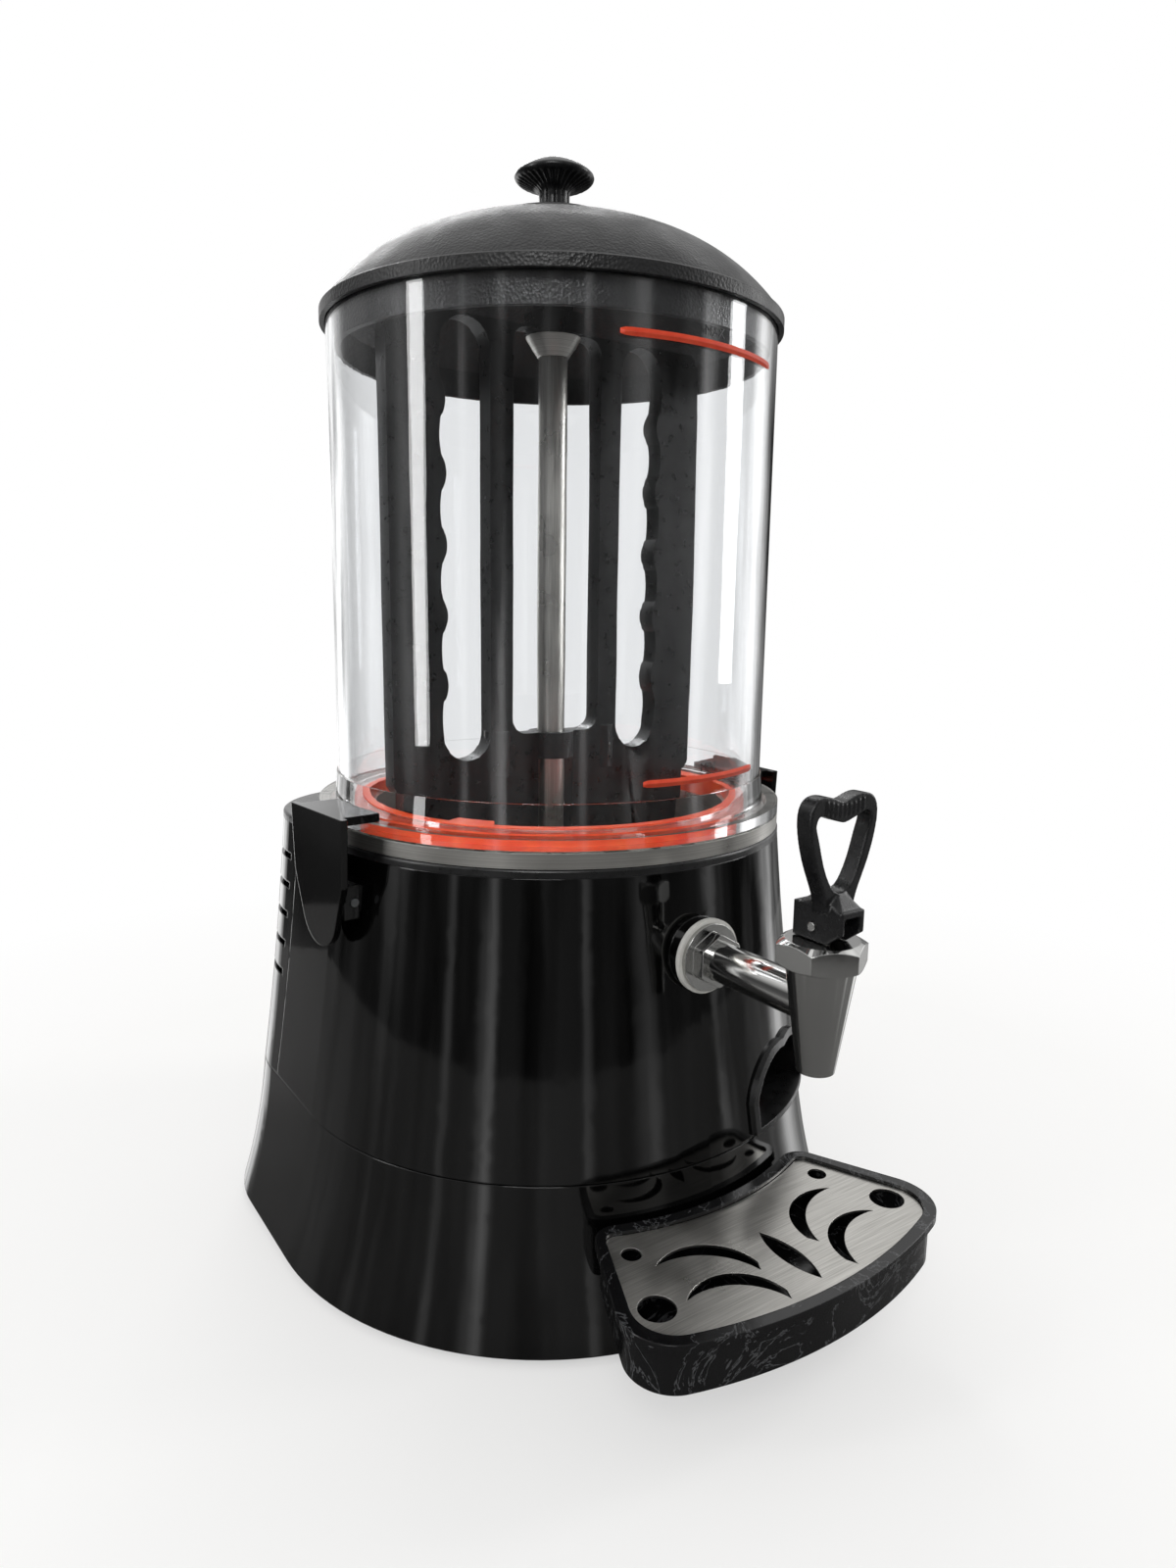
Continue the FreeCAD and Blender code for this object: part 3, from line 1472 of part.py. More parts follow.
def cable_gland():
    wall_y = rod_y(gland_bore, 0, far, gland_x, gland_z).common(housing_solid(0)).BoundBox.YMax
    body = rod_y(gland_radius, wall_y - gland_inside, wall_y + gland_length, gland_x, gland_z)
    flange = rod_y(gland_flange_radius, wall_y + gland_flange_gap, wall_y + gland_flange_height, gland_x, gland_z)
    return body.fuse(flange).cut(rod_y(gland_bore, 0, far, gland_x, gland_z))


nodes = {
    "base_skirt": base_skirt,
    "bottom_plate": bottom_plate,
    "bottom_screws": bottom_screws,
    "rubber_feet": rubber_feet,
    "front_housing": front_housing,
    "rear_cover": rear_cover,
    "rear_cover_screws": rear_cover_screws,
    "top_deck": top_deck,
    "water_tank": water_tank,
    "steel_ring": steel_ring,
    "product_pan": product_pan,
    "outlet_pipe": outlet_pipe,
    "centre_tube": centre_tube,
    "shaft_bushes": shaft_bushes,
    "seal_ring": seal_ring,
    "bowl": bowl,
    "lid_shell": lid_shell,
    "lid_knob": lid_knob,
    "knob_screw": knob_screw,
    "stirrer_frame": stirrer_frame,
    "coupling_block": coupling_block,
    "drive_cup": drive_cup,
    "drive_shaft": drive_shaft,
    "gearbox": gearbox,
    "drive_motor": drive_motor,
    "motor_bracket": motor_bracket,
    "bracket_posts": bracket_posts,
    "heating_element": heating_element,
    "overheat_cutout": overheat_cutout,
    "control_panel": control_panel,
    "signal_lamps": signal_lamps,
    "thermostat_dial": thermostat_dial,
    "thermostat_body": thermostat_body,
    "power_rocker": power_rocker,
    "switch_body": switch_body,
    "latch_left": latch_left,
    "latch_right": latch_right,
    "latch_brackets": latch_brackets,
    "latch_pins": latch_pins,
    "tap_washer": tap_washer,
    "tap_nut": tap_nut,
    "tap_body": tap_body,
    "tap_bonnet": tap_bonnet,
    "tap_stem": tap_stem,
    "tap_plug": tap_plug,
    "tap_handle": tap_handle,
    "tap_pin": tap_pin,
    "drip_tray": drip_tray,
    "drip_grid": drip_grid,
    "terminal_block": terminal_block,
    "cable_gland": cable_gland,
}

for name, make in nodes.items():
    save(name, make())
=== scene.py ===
import json
import math

import bmesh
import bpy
from mathutils import Matrix, Vector

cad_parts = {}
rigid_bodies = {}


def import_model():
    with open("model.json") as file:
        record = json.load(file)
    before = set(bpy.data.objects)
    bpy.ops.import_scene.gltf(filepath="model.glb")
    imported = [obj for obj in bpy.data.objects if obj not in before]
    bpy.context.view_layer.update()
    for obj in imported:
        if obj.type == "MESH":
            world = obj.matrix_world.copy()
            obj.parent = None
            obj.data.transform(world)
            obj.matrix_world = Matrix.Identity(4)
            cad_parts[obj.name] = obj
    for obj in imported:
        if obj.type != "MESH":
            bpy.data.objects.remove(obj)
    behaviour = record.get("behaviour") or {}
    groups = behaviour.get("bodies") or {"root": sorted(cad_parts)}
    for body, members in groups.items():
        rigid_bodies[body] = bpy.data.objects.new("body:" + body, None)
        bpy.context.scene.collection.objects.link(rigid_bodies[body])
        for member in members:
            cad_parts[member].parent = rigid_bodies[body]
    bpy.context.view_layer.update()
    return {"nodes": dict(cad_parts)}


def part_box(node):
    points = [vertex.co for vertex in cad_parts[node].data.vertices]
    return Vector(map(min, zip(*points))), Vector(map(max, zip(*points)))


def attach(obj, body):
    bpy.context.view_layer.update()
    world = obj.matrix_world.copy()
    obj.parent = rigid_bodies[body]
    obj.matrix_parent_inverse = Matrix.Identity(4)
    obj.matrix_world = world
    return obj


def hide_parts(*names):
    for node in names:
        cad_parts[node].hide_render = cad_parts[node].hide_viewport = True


for thing in list(bpy.data.objects):  # the startup cube, lamp and camera
    bpy.data.objects.remove(thing)

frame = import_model()
nodes = frame["nodes"]
print("frame loaded:", len(nodes), "nodes")

mm = 0.001
bowlAxisY = 0.04275  # the bowl's upright axis stands at x 0 and this y
noiseRange = (0.3, 0.7)  # most of a noise texture's values lie between these


# Small helpers
def srgb(hexColour):
    values = []
    for i in (1, 3, 5):
        v = int(hexColour[i:i + 2], 16) / 255
        values.append(v / 12.92 if v <= 0.04045 else ((v + 0.055) / 1.055) ** 2.4)
    return (*values, 1.0)


def add(tree, kind, sockets=None, **settings):
    node = tree.nodes.new(kind)
    for name, value in settings.items():
        setattr(node, name, value)
    for name, value in (sockets or {}).items():
        if isinstance(value, bpy.types.NodeSocket):
            tree.links.new(value, node.inputs[name])
        else:
            node.inputs[name].default_value = value
    return node


def startMaterial(name, sockets):
    material = bpy.data.materials.new(name)
    material.use_nodes = True
    tree = material.node_tree
    tree.nodes.clear()
    shader = add(tree, "ShaderNodeBsdfPrincipled", sockets)
    add(tree, "ShaderNodeOutputMaterial", {"Surface": shader.outputs[0]})
    return material, tree, shader


def link(tree, source, node, socket):
    tree.links.new(source, node.inputs[socket])


def scaleFor(sizeMm):
    return 1 / (sizeMm * mm)  # texture scale of a pattern that repeats about every sizeMm


# Base colour that drifts between two tones as a pattern does.
def tint(tree, shader, pattern, colours, shares=(0.0, 1.0), reach=noiseRange):
    share = add(tree, "ShaderNodeMapRange", {0: pattern, 1: reach[0], 2: reach[1],
                                             3: shares[0], 4: shares[1]})
    tone = add(tree, "ShaderNodeMix", {0: share.outputs[0], 6: srgb(colours[0]), 7: srgb(colours[1])},
               data_type="RGBA")
    link(tree, tone.outputs[2], shader, "Base Color")


# Shine that drifts between two roughness values as a pattern does.
def shine(tree, shader, pattern, roughness):
    drift = add(tree, "ShaderNodeMapRange", {0: pattern, 1: noiseRange[0], 2: noiseRange[1],
                                             3: roughness[0], 4: roughness[1]})
    link(tree, drift.outputs[0], shader, "Roughness")


# A pattern raised on the surface, and rounded edges where edgeMm is given.
def relief(tree, shader, pattern, strength, heightMm, edgeMm=None):
    bump = add(tree, "ShaderNodeBump", {"Strength": strength, "Distance": heightMm * mm, "Height": pattern})
    if edgeMm:
        edge = add(tree, "ShaderNodeBevel", {"Radius": edgeMm * mm}, samples=4)
        link(tree, edge.outputs[0], bump, "Normal")
    link(tree, bump.outputs[0], shader, "Normal")


# Camera, at the photograph's place
viewPoint = {
    "place": (-0.2988, -0.42625, 0.336),
    "turn": 34.65,  # degrees from straight back towards the machine's right
    "dip": 10.18,  # degrees below level
    "roll": 0.76,
    "lens": 23.4,
}


def placeCamera():
    turn, dip, roll = (math.radians(viewPoint[k]) for k in ("turn", "dip", "roll"))
    ahead = Vector((math.sin(turn) * math.cos(dip), math.cos(turn) * math.cos(dip), -math.sin(dip)))
    right = Vector((math.cos(turn), -math.sin(turn), 0))
    up = right.cross(ahead)
    rolledRight = right * math.cos(roll) + up * math.sin(roll)
    rolledUp = up * math.cos(roll) - right * math.sin(roll)
    lens = bpy.data.cameras.new("photoCamera")
    lens.lens = viewPoint["lens"]
    viewer = bpy.data.objects.new("photoCamera", lens)
    turned = Matrix((rolledRight, rolledUp, -ahead)).transposed().to_4x4()
    viewer.matrix_world = Matrix.Translation(viewPoint["place"]) @ turned
    bpy.context.scene.collection.objects.link(viewer)
    bpy.context.scene.camera = viewer


placeCamera()
bpy.context.scene.view_settings.view_transform = "Standard"
print("camera placed")

# Studio: pale floor, soft lamps, white backdrop
studio = {
    "floorColour": "#EDECEA",
    "floorRadius": 0.75,
    "floorFade": (0.42, 0.72),  # where the floor starts to turn white, and where it has
    "floorGlow": (0.5, 1.0),  # share of white at those two
    "floorHidden": 0.85,  # share of the floor that shiny things don't mirror
    "fill": 0.62,  # even light from all round
    # dark and light walls that shiny things mirror: place round the studio, level. In the three
    # ranges below, 1 and 2 are the range that comes in, and 3 and 4 the one that goes out.
    "walls": ((0.0, 0.1), (0.035, 0.08), (0.045, 0.6), (0.052, 0.1), (0.085, 0.12), (0.1, 0.3), (0.118, 0.1),
              (0.15, 0.1), (0.16, 1.1), (0.17, 0.4), (0.18, 0.12), (0.205, 0.1), (0.214, 0.6), (0.222, 0.1),
              (0.27, 0.1), (0.3, 0.4), (0.33, 0.1), (0.43, 0.08), (0.475, 1.5), (0.53, 1.5), (0.57, 0.2),
              (0.64, 0.12), (0.7, 0.5), (0.735, 1.6), (0.77, 0.3), (0.84, 0.1), (0.866, 1.2), (0.88, 0.1),
              (0.95, 0.1), (0.965, 0.5), (1.0, 0.1)),
    "wallPatches": 3.5,  # how often a wall's light changes from top to bottom
    "wallDepth": {1: 0.38, 2: 0.62, 3: 0.15, 4: 1.4},  # and by how much
    "overhead": (0.15, 0.6),  # height at which the ceiling starts to be seen, and is seen in full
    "behind": {1: -0.35, 2: 0.25, 3: 0.25, 4: 1.0},  # the brighter lights hang behind
    "underfoot": {1: -0.6, 2: -0.35, 3: 0.0, 4: 1.0},  # dark below
    "darkLevel": 0.01,
    "lamps": {
        # name: place, aim, width, height, watts
        "keyLamp": ((-0.95, -1.15, 1.35), (0, 0, 0.3), 0.7, 0.7, 11.0),
        "sideLamp": ((1.35, -0.55, 0.75), (0, 0, 0.3), 0.28, 1.2, 7.0),
        "leftStrip": ((-1.35, 0.25, 0.65), (0, 0, 0.3), 0.2, 1.2, 5.0),
        "backLamp": ((0.5, 1.35, 1.3), (0, 0, 0.35), 0.9, 0.5, 9.0),
    },
}
white = (1, 1, 1, 1)


def grey(level):
    return (level, level, level, 1)


# 1 for rays that come from the camera or through the clear bowl, and 0 for the others.
def seenByCamera(tree, path):
    rays = {0: path.outputs["Is Camera Ray"], 1: path.outputs["Is Transmission Ray"]}
    return add(tree, "ShaderNodeMath", rays, operation="MAXIMUM").outputs[0]


def buildFloor():
    mesh = bpy.data.meshes.new("studioFloor")
    shape = bmesh.new()
    bmesh.ops.create_circle(shape, cap_ends=True, segments=96, radius=studio["floorRadius"])
    shape.to_mesh(mesh)
    shape.free()
    floor = bpy.data.objects.new("studioFloor", mesh)
    bpy.context.scene.collection.objects.link(floor)
    material, tree, shader = startMaterial("paintedFloor", {"Base Color": srgb(studio["floorColour"]),
                                                           "Roughness": 0.9, "Specular IOR Level": 0.1})
    path = add(tree, "ShaderNodeLightPath")
    place = add(tree, "ShaderNodeTexCoord").outputs["Object"]
    reach = add(tree, "ShaderNodeVectorMath", {0: place}, operation="LENGTH")
    near, far = studio["floorFade"]
    start, end = studio["floorGlow"]
    fade = add(tree, "ShaderNodeMapRange", {0: reach.outputs["Value"], 1: near, 2: far, 3: start, 4: end})
    share = add(tree, "ShaderNodeMath", {0: seenByCamera(tree, path), 1: fade.outputs[0]},
                operation="MULTIPLY")
    glow = add(tree, "ShaderNodeEmission", {"Color": white, "Strength": 1.0})
    pale = add(tree, "ShaderNodeMixShader", {0: share.outputs[0], 1: shader.outputs[0], 2: glow.outputs[0]})
    hidden = add(tree, "ShaderNodeMath", {0: path.outputs["Is Glossy Ray"], 1: studio["floorHidden"]},
                 operation="MULTIPLY")
    through = add(tree, "ShaderNodeBsdfTransparent")
    mix = add(tree, "ShaderNodeMixShader", {0: hidden.outputs[0], 1: pale.outputs[0], 2: through.outputs[0]})
    link(tree, mix.outputs[0], tree.nodes["Material Output"], "Surface")
    mesh.materials.append(material)


# What shiny things mirror: broken strips of light round the studio, a ceiling behind, dark underfoot.
def mirroredStudio(tree):
    toward = add(tree, "ShaderNodeTexCoord").outputs["Generated"]
    axes = add(tree, "ShaderNodeSeparateXYZ", {0: toward})
    bearing = add(tree, "ShaderNodeMath", {0: axes.outputs[0], 1: axes.outputs[1]}, operation="ARCTAN2")
    turn = add(tree, "ShaderNodeMath", {0: bearing.outputs[0], 1: 1 / math.tau}, operation="MULTIPLY")
    turn = add(tree, "ShaderNodeMath", {0: turn.outputs[0], 1: 0.5}, operation="ADD")
    walls = add(tree, "ShaderNodeValToRGB", {0: turn.outputs[0]})
    ramp = walls.color_ramp
    ramp.interpolation = "EASE"
    for i, (at, level) in enumerate(studio["walls"]):
        stop = ramp.elements[i] if i < 2 else ramp.elements.new(at)
        stop.position = at
        stop.color = grey(level)
    patches = add(tree, "ShaderNodeTexNoise", {"Vector": toward, "Scale": studio["wallPatches"],
                                               "Detail": 3.0})
    broken = add(tree, "ShaderNodeMapRange", {0: patches.outputs[0], **studio["wallDepth"]})
    strips = add(tree, "ShaderNodeMix", {0: 1.0, 6: walls.outputs[0], 7: broken.outputs[0]}, data_type="RGBA",
                 blend_type="MULTIPLY")
    height = add(tree, "ShaderNodeValToRGB", {0: axes.outputs[2]})
    for stop, at, level in zip(height.color_ramp.elements, studio["overhead"], (0, 1)):
        stop.position = at
        stop.color = grey(level)
    behind = add(tree, "ShaderNodeMapRange", {0: axes.outputs[1], **studio["behind"]})
    ceiling = add(tree, "ShaderNodeMix", {0: 1.0, 6: height.outputs[0], 7: behind.outputs[0]},
                  data_type="RGBA", blend_type="MULTIPLY")
    room = add(tree, "ShaderNodeMix", {0: 1.0, 6: strips.outputs[2], 7: ceiling.outputs[2]}, data_type="RGBA",
               blend_type="SCREEN")
    above = add(tree, "ShaderNodeMapRange", {0: axes.outputs[2], **studio["underfoot"]})
    dark = grey(studio["darkLevel"])
    room = add(tree, "ShaderNodeMix", {0: above.outputs[0], 6: dark, 7: room.outputs[2]}, data_type="RGBA")
    return room.outputs[2]


def buildWorld():
    world = bpy.data.worlds.new("softStudio")
    bpy.context.scene.world = world
    world.use_nodes = True
    tree = world.node_tree
    tree.nodes.clear()
    path = add(tree, "ShaderNodeLightPath")
    bounced = add(tree, "ShaderNodeMath", {0: path.outputs["Glossy Depth"], 1: path.outputs["Diffuse Depth"]},
                  operation="ADD")
    direct = add(tree, "ShaderNodeMath", {0: bounced.outputs[0], 1: 0.5}, operation="LESS_THAN")
    seen = add(tree, "ShaderNodeMath", {0: seenByCamera(tree, path), 1: direct.outputs[0]},
               operation="MULTIPLY")
    shiny = add(tree, "ShaderNodeMath", {0: path.outputs["Glossy Depth"], 1: 0.5}, operation="GREATER_THAN")
    lit = add(tree, "ShaderNodeMix", {0: shiny.outputs[0], 6: grey(studio["fill"]), 7: mirroredStudio(tree)},
              data_type="RGBA")
    shown = add(tree, "ShaderNodeMix", {0: seen.outputs[0], 6: lit.outputs[2], 7: white}, data_type="RGBA")
    sky = add(tree, "ShaderNodeBackground", {"Color": shown.outputs[2]})
    add(tree, "ShaderNodeOutputWorld", {"Surface": sky.outputs[0]})


def hangLamps():
    for name, (place, aim, wide, high, watts) in studio["lamps"].items():
        light = bpy.data.lights.new(name, "AREA")
        light.shape = "RECTANGLE"
        light.size = wide
        light.size_y = high
        light.energy = watts
        lamp = bpy.data.objects.new(name, light)
        lamp.location = place
        lamp.rotation_euler = (Vector(aim) - Vector(place)).to_track_quat("-Z", "Y").to_euler()
        lamp.visible_camera = False
        bpy.context.scene.collection.objects.link(lamp)


buildFloor()
buildWorld()
hangLamps()
print("studio built")


# Gloss ABS, injection moulded in a polished tool: deep black with sharp reflections that waver a
# little where the plastic flowed, and a fine dust that greys it where light rakes.
glossAbs = {
    "colours": ("#030303", "#2E2E2F"),  # plastic, dust
    "dustMm": 1.3,  # real dust is finer; drawn coarser so that it shows
    "dustFrom": (0.74, 0.86),  # only the peaks of the pattern are specks
    "dustShare": (0.0, 0.25),
    "smudgeMm": 42,
    "flowMm": 26,
    "flowHighMm": 0.3,
    "roughness": (0.03, 0.08),
    "edgeMm": 0.8,  # moulded edges are never knife sharp
}


def makeGlossAbs():
    g = glossAbs
    material, tree, shader = startMaterial("mouldedGlossAbs", {"IOR": 1.53})
    place = add(tree, "ShaderNodeTexCoord").outputs["Object"]
    smudge = add(tree, "ShaderNodeTexNoise", {"Vector": place, "Scale": scaleFor(g["smudgeMm"]),
                                              "Detail": 5.0, "Roughness": 0.6})
    shine(tree, shader, smudge.outputs[0], g["roughness"])
    dust = add(tree, "ShaderNodeTexNoise", {"Vector": place, "Scale": scaleFor(g["dustMm"]), "Detail": 2.0})
    tint(tree, shader, dust.outputs[0], g["colours"], g["dustShare"], g["dustFrom"])
    flow = add(tree, "ShaderNodeTexNoise", {"Vector": place, "Scale": scaleFor(g["flowMm"]), "Detail": 1.0})
    relief(tree, shader, flow.outputs[0], 0.15, g["flowHighMm"], g["edgeMm"])
    return material


# The tray's outer wall still wears its scuffed protective film: the same ABS with pale wisps and scratches.
filmedAbs = {
    "colours": ("#0A0A0B", "#5A5B5D"),  # plastic, wisps
    "wispMm": 34,
    "wispHalf": 0.014,  # of the pattern's fold lines that show as wisps
    "wispShare": (0.6, 0.0),
    "wispHighMm": 0.25,
    "roughness": (0.1, 0.28),
    "edgeMm": 0.8,
}


def makeFilmedAbs():
    f = filmedAbs
    material, tree, shader = startMaterial("filmedAbs", {"IOR": 1.53})
    place = add(tree, "ShaderNodeTexCoord").outputs["Object"]
    wisps = add(tree, "ShaderNodeTexNoise", {"Vector": place, "Scale": scaleFor(f["wispMm"]), "Detail": 8.0,
                                             "Roughness": 0.62, "Distortion": 1.6})
    fold = add(tree, "ShaderNodeMath", {0: wisps.outputs[0], 1: 0.5}, operation="SUBTRACT")
    fold = add(tree, "ShaderNodeMath", {0: fold.outputs[0]}, operation="ABSOLUTE")
    tint(tree, shader, fold.outputs[0], f["colours"], f["wispShare"], (0.0, f["wispHalf"]))
    shine(tree, shader, wisps.outputs[0], f["roughness"])
    relief(tree, shader, wisps.outputs[0], 0.5, f["wispHighMm"], f["edgeMm"])
    return material


# Polypropylene lid, moulded in a tool etched like leather: matt, with small pebbles that sparkle
# where light rakes.
grainedPp = {
    "colours": ("#0C0C0D", "#171718"),
    "pebbleMm": 1.4,  # real pebbles are about 0.8 mm; drawn coarser so that they show
    "pebbleHighMm": 0.35,
    "patchMm": 18,
    "patchShare": (0.1, 0.9),
    "roughness": (0.34, 0.5),
    "edgeMm": 0.5,
}


def makeGrainedPp():
    g = grainedPp
    material, tree, shader = startMaterial("grainedPolypropylene", {"IOR": 1.49})
    place = add(tree, "ShaderNodeTexCoord").outputs["Object"]
    pebbles = add(tree, "ShaderNodeTexVoronoi", {"Vector": place, "Scale": scaleFor(g["pebbleMm"])})
    patches = add(tree, "ShaderNodeTexNoise", {"Vector": place, "Scale": scaleFor(g["patchMm"]),
                                               "Detail": 4.0})
    tint(tree, shader, patches.outputs[0], g["colours"], g["patchShare"])
    shine(tree, shader, patches.outputs[0], g["roughness"])
    relief(tree, shader, pebbles.outputs[0], 0.55, g["pebbleHighMm"], g["edgeMm"])
    return material


# Glass-filled nylon and other satin mouldings: dark, softly shining, with a faint mottle from the fibres.
satinPlastic = {
    "mottleMm": 6.0,
    "grainMm": 0.9,
    "grainHighMm": 0.06,
    "roughnessDrift": (-0.06, 0.08),
    "edgeMm": 0.6,
}


def makeSatinPlastic(name, colour, paleColour, roughness, ior=1.52):
    p = satinPlastic
    material, tree, shader = startMaterial(name, {"IOR": ior})
    place = add(tree, "ShaderNodeTexCoord").outputs["Object"]
    mottle = add(tree, "ShaderNodeTexNoise", {"Vector": place, "Scale": scaleFor(p["mottleMm"]),
                                              "Detail": 6.0, "Roughness": 0.65})
    tint(tree, shader, mottle.outputs[0], (colour, paleColour))
    shine(tree, shader, mottle.outputs[0], [roughness + drift for drift in p["roughnessDrift"]])
    fine = add(tree, "ShaderNodeTexNoise", {"Vector": place, "Scale": scaleFor(p["grainMm"]), "Detail": 2.0})
    relief(tree, shader, fine.outputs[0], 0.25, p["grainHighMm"], p["edgeMm"])
    return material


# Polycarbonate bowl, moulded clear: glass-like with faint upright draw lines.
clearPc = {
    "colour": "#FBFCFD",
    "roughness": 0.015,
    "drawLineMm": 9.0,
    "drawLineHighMm": 0.12,
    "stretch": (1, 1, 0.04),  # lines run up the wall
}


def makeClearPc():
    c = clearPc
    material, tree, shader = startMaterial("polycarbonate", {"Base Color": srgb(c["colour"]), "IOR": 1.585,
                                                            "Transmission Weight": 1.0,
                                                            "Roughness": c["roughness"]})
    place = add(tree, "ShaderNodeTexCoord").outputs["Object"]
    squeezed = add(tree, "ShaderNodeVectorMath", {0: place, 1: c["stretch"]}, operation="MULTIPLY")
    lines = add(tree, "ShaderNodeTexNoise", {"Vector": squeezed.outputs[0],
                                             "Scale": scaleFor(c["drawLineMm"]), "Detail": 3.0})
    relief(tree, shader, lines.outputs[0], 0.3, c["drawLineHighMm"])
    clear = add(tree, "ShaderNodeBsdfTransparent")
    path = add(tree, "ShaderNodeLightPath")
    mix = add(tree, "ShaderNodeMixShader", {0: path.outputs["Is Shadow Ray"], 1: shader.outputs[0],
                                            2: clear.outputs[0]})  # lamps reach what is in the bowl
    link(tree, mix.outputs[0], tree.nodes["Material Output"], "Surface")
    return material


# Brushed stainless steel: satin with fine lines that run the way the belt or the spinning pad went.
brushed = {
    "colours": ("#D6D4CF", "#A9A7A2"),
    "lineShare": (0.0, 0.8),
    "lineMm": 0.5,  # real lines are about 0.1 mm; drawn coarser so that they show
    "lineHighMm": 0.04,
    "cloudMm": 25,
    "roughness": (0.26, 0.4),
    "edgeMm": 0.3,
    "stretch": {"up": (1, 1, 0.02), "across": (0.02, 1, 1)},
}


def makeBrushed(name, run, roughness=brushed["roughness"]):
    b = brushed
    material, tree, shader = startMaterial(name, {"Metallic": 1.0, "Anisotropic": 0.45})
    place = add(tree, "ShaderNodeTexCoord").outputs["Object"]
    if run == "round":  # spun about the bowl's axis
        centred = add(tree, "ShaderNodeVectorMath", {0: place, 1: (0, bowlAxisY, 0)}, operation="SUBTRACT")
        flat = add(tree, "ShaderNodeVectorMath", {0: centred.outputs[0], 1: (1, 1, 0)}, operation="MULTIPLY")
        reach = add(tree, "ShaderNodeVectorMath", {0: flat.outputs[0]}, operation="LENGTH")
        axes = add(tree, "ShaderNodeSeparateXYZ", {0: centred.outputs[0]})
        drawn = add(tree, "ShaderNodeCombineXYZ", {0: reach.outputs["Value"], 1: axes.outputs[2]})
        tangent = add(tree, "ShaderNodeTangent", direction_type="RADIAL", axis="Z")
        link(tree, tangent.outputs[0], shader, "Tangent")
    else:
        drawn = add(tree, "ShaderNodeVectorMath", {0: place, 1: b["stretch"][run]}, operation="MULTIPLY")
    lines = add(tree, "ShaderNodeTexNoise", {"Vector": drawn.outputs[0], "Scale": scaleFor(b["lineMm"]),
                                             "Detail": 3.0})
    clouds = add(tree, "ShaderNodeTexNoise", {"Vector": place, "Scale": scaleFor(b["cloudMm"]),
                                              "Detail": 3.0})
    tint(tree, shader, lines.outputs[0], b["colours"], b["lineShare"])
    shine(tree, shader, clouds.outputs[0], roughness)
    relief(tree, shader, lines.outputs[0], 0.2, b["lineHighMm"], b["edgeMm"])
    return material


# Chromed brass, buffed before plating: a mirror with soft edges, small pits and a film of finger marks.
chrome = {
    "colour": "#CBCBC9",
    "markMm": 11,
    "markHighMm": 0.08,
    "roughness": (0.04, 0.14),
    "edgeMm": 0.6,
}


def makeChrome():
    material, tree, shader = startMaterial("chromedBrass", {"Metallic": 1.0,
                                                            "Base Color": srgb(chrome["colour"])})
    place = add(tree, "ShaderNodeTexCoord").outputs["Object"]
    marks = add(tree, "ShaderNodeTexNoise", {"Vector": place, "Scale": scaleFor(chrome["markMm"]),
                                             "Detail": 6.0})
    shine(tree, shader, marks.outputs[0], chrome["roughness"])
    relief(tree, shader, marks.outputs[0], 0.15, chrome["markHighMm"], chrome["edgeMm"])
    return material


# Cast silicone: soft and a little see-through, so light spreads inside it.
silicone = {
    "spreadMm": 2,
    "toneMm": 9,
    "toneHighMm": 0.1,
    "roughness": (0.28, 0.45),
    "edgeMm": 0.6,
}


def makeSilicone(name, colour, paleColour, through):
    c = silicone
    material, tree, shader = startMaterial(name, {"IOR": 1.41, "Subsurface Weight": 0.35,
                                                  "Subsurface Scale": c["spreadMm"] * mm,
                                                  "Transmission Weight": through})
    place = add(tree, "ShaderNodeTexCoord").outputs["Object"]
    tone = add(tree, "ShaderNodeTexNoise", {"Vector": place, "Scale": scaleFor(c["toneMm"]), "Detail": 4.0})
    tint(tree, shader, tone.outputs[0], (colour, paleColour))
    shine(tree, shader, tone.outputs[0], c["roughness"])
    relief(tree, shader, tone.outputs[0], 0.2, c["toneHighMm"], c["edgeMm"])
    return material


# Plain metals: rolled zinc-coated sheet, turned bronze, hammered paint. A mottle in tone and shine.
plainMetal = {
    "mottleHighMm": 0.1,
    "roughnessDrift": 0.18,
}


def makePlainMetal(name, colour, darkColour, roughness, mottleMm, metallic=1.0):
    m = plainMetal
    material, tree, shader = startMaterial(name, {"Metallic": metallic})
    place = add(tree, "ShaderNodeTexCoord").outputs["Object"]
    mottle = add(tree, "ShaderNodeTexVoronoi", {"Vector": place, "Scale": scaleFor(mottleMm)}, feature="F1")
    cloud = add(tree, "ShaderNodeTexNoise", {"Vector": place, "Scale": scaleFor(mottleMm * 2), "Detail": 5.0})
    tint(tree, shader, cloud.outputs[0], (colour, darkColour))
    shine(tree, shader, cloud.outputs[0], (roughness, roughness + m["roughnessDrift"]))
    relief(tree, shader, mottle.outputs[0], 0.2, m["mottleHighMm"])
    return material


blackGloss = makeGlossAbs()
blackFilmed = makeFilmedAbs()
blackGrained = makeGrainedPp()
blackNylon = makeSatinPlastic("glassFilledNylon", "#080808", "#121213", 0.3)
blackAcetal = makeSatinPlastic("acetal", "#0B0B0C", "#161617", 0.26, ior=1.48)
greyNylon = makeSatinPlastic("greyNylon", "#A7A6A2", "#BEBDB8", 0.42)
creamPhenolic = makeSatinPlastic("phenolicResin", "#C9BE9F", "#DDD3B8", 0.45, ior=1.6)
redPolystyrene = makeSatinPlastic("lampPolystyrene", "#B3301C", "#D9502F", 0.15, ior=1.59)
footRubber = makeSatinPlastic("nitrileRubber", "#121212", "#232323", 0.7)
levelInk = makeSatinPlastic("silkScreenInk", "#D8391B", "#E7502A", 0.4)
wordInk = makeSatinPlastic("blackInk", "#0E0E0F", "#161617", 0.4)
dialInk = makeSatinPlastic("padPrintInk", "#D9D8D4", "#E6E5E1", 0.5)
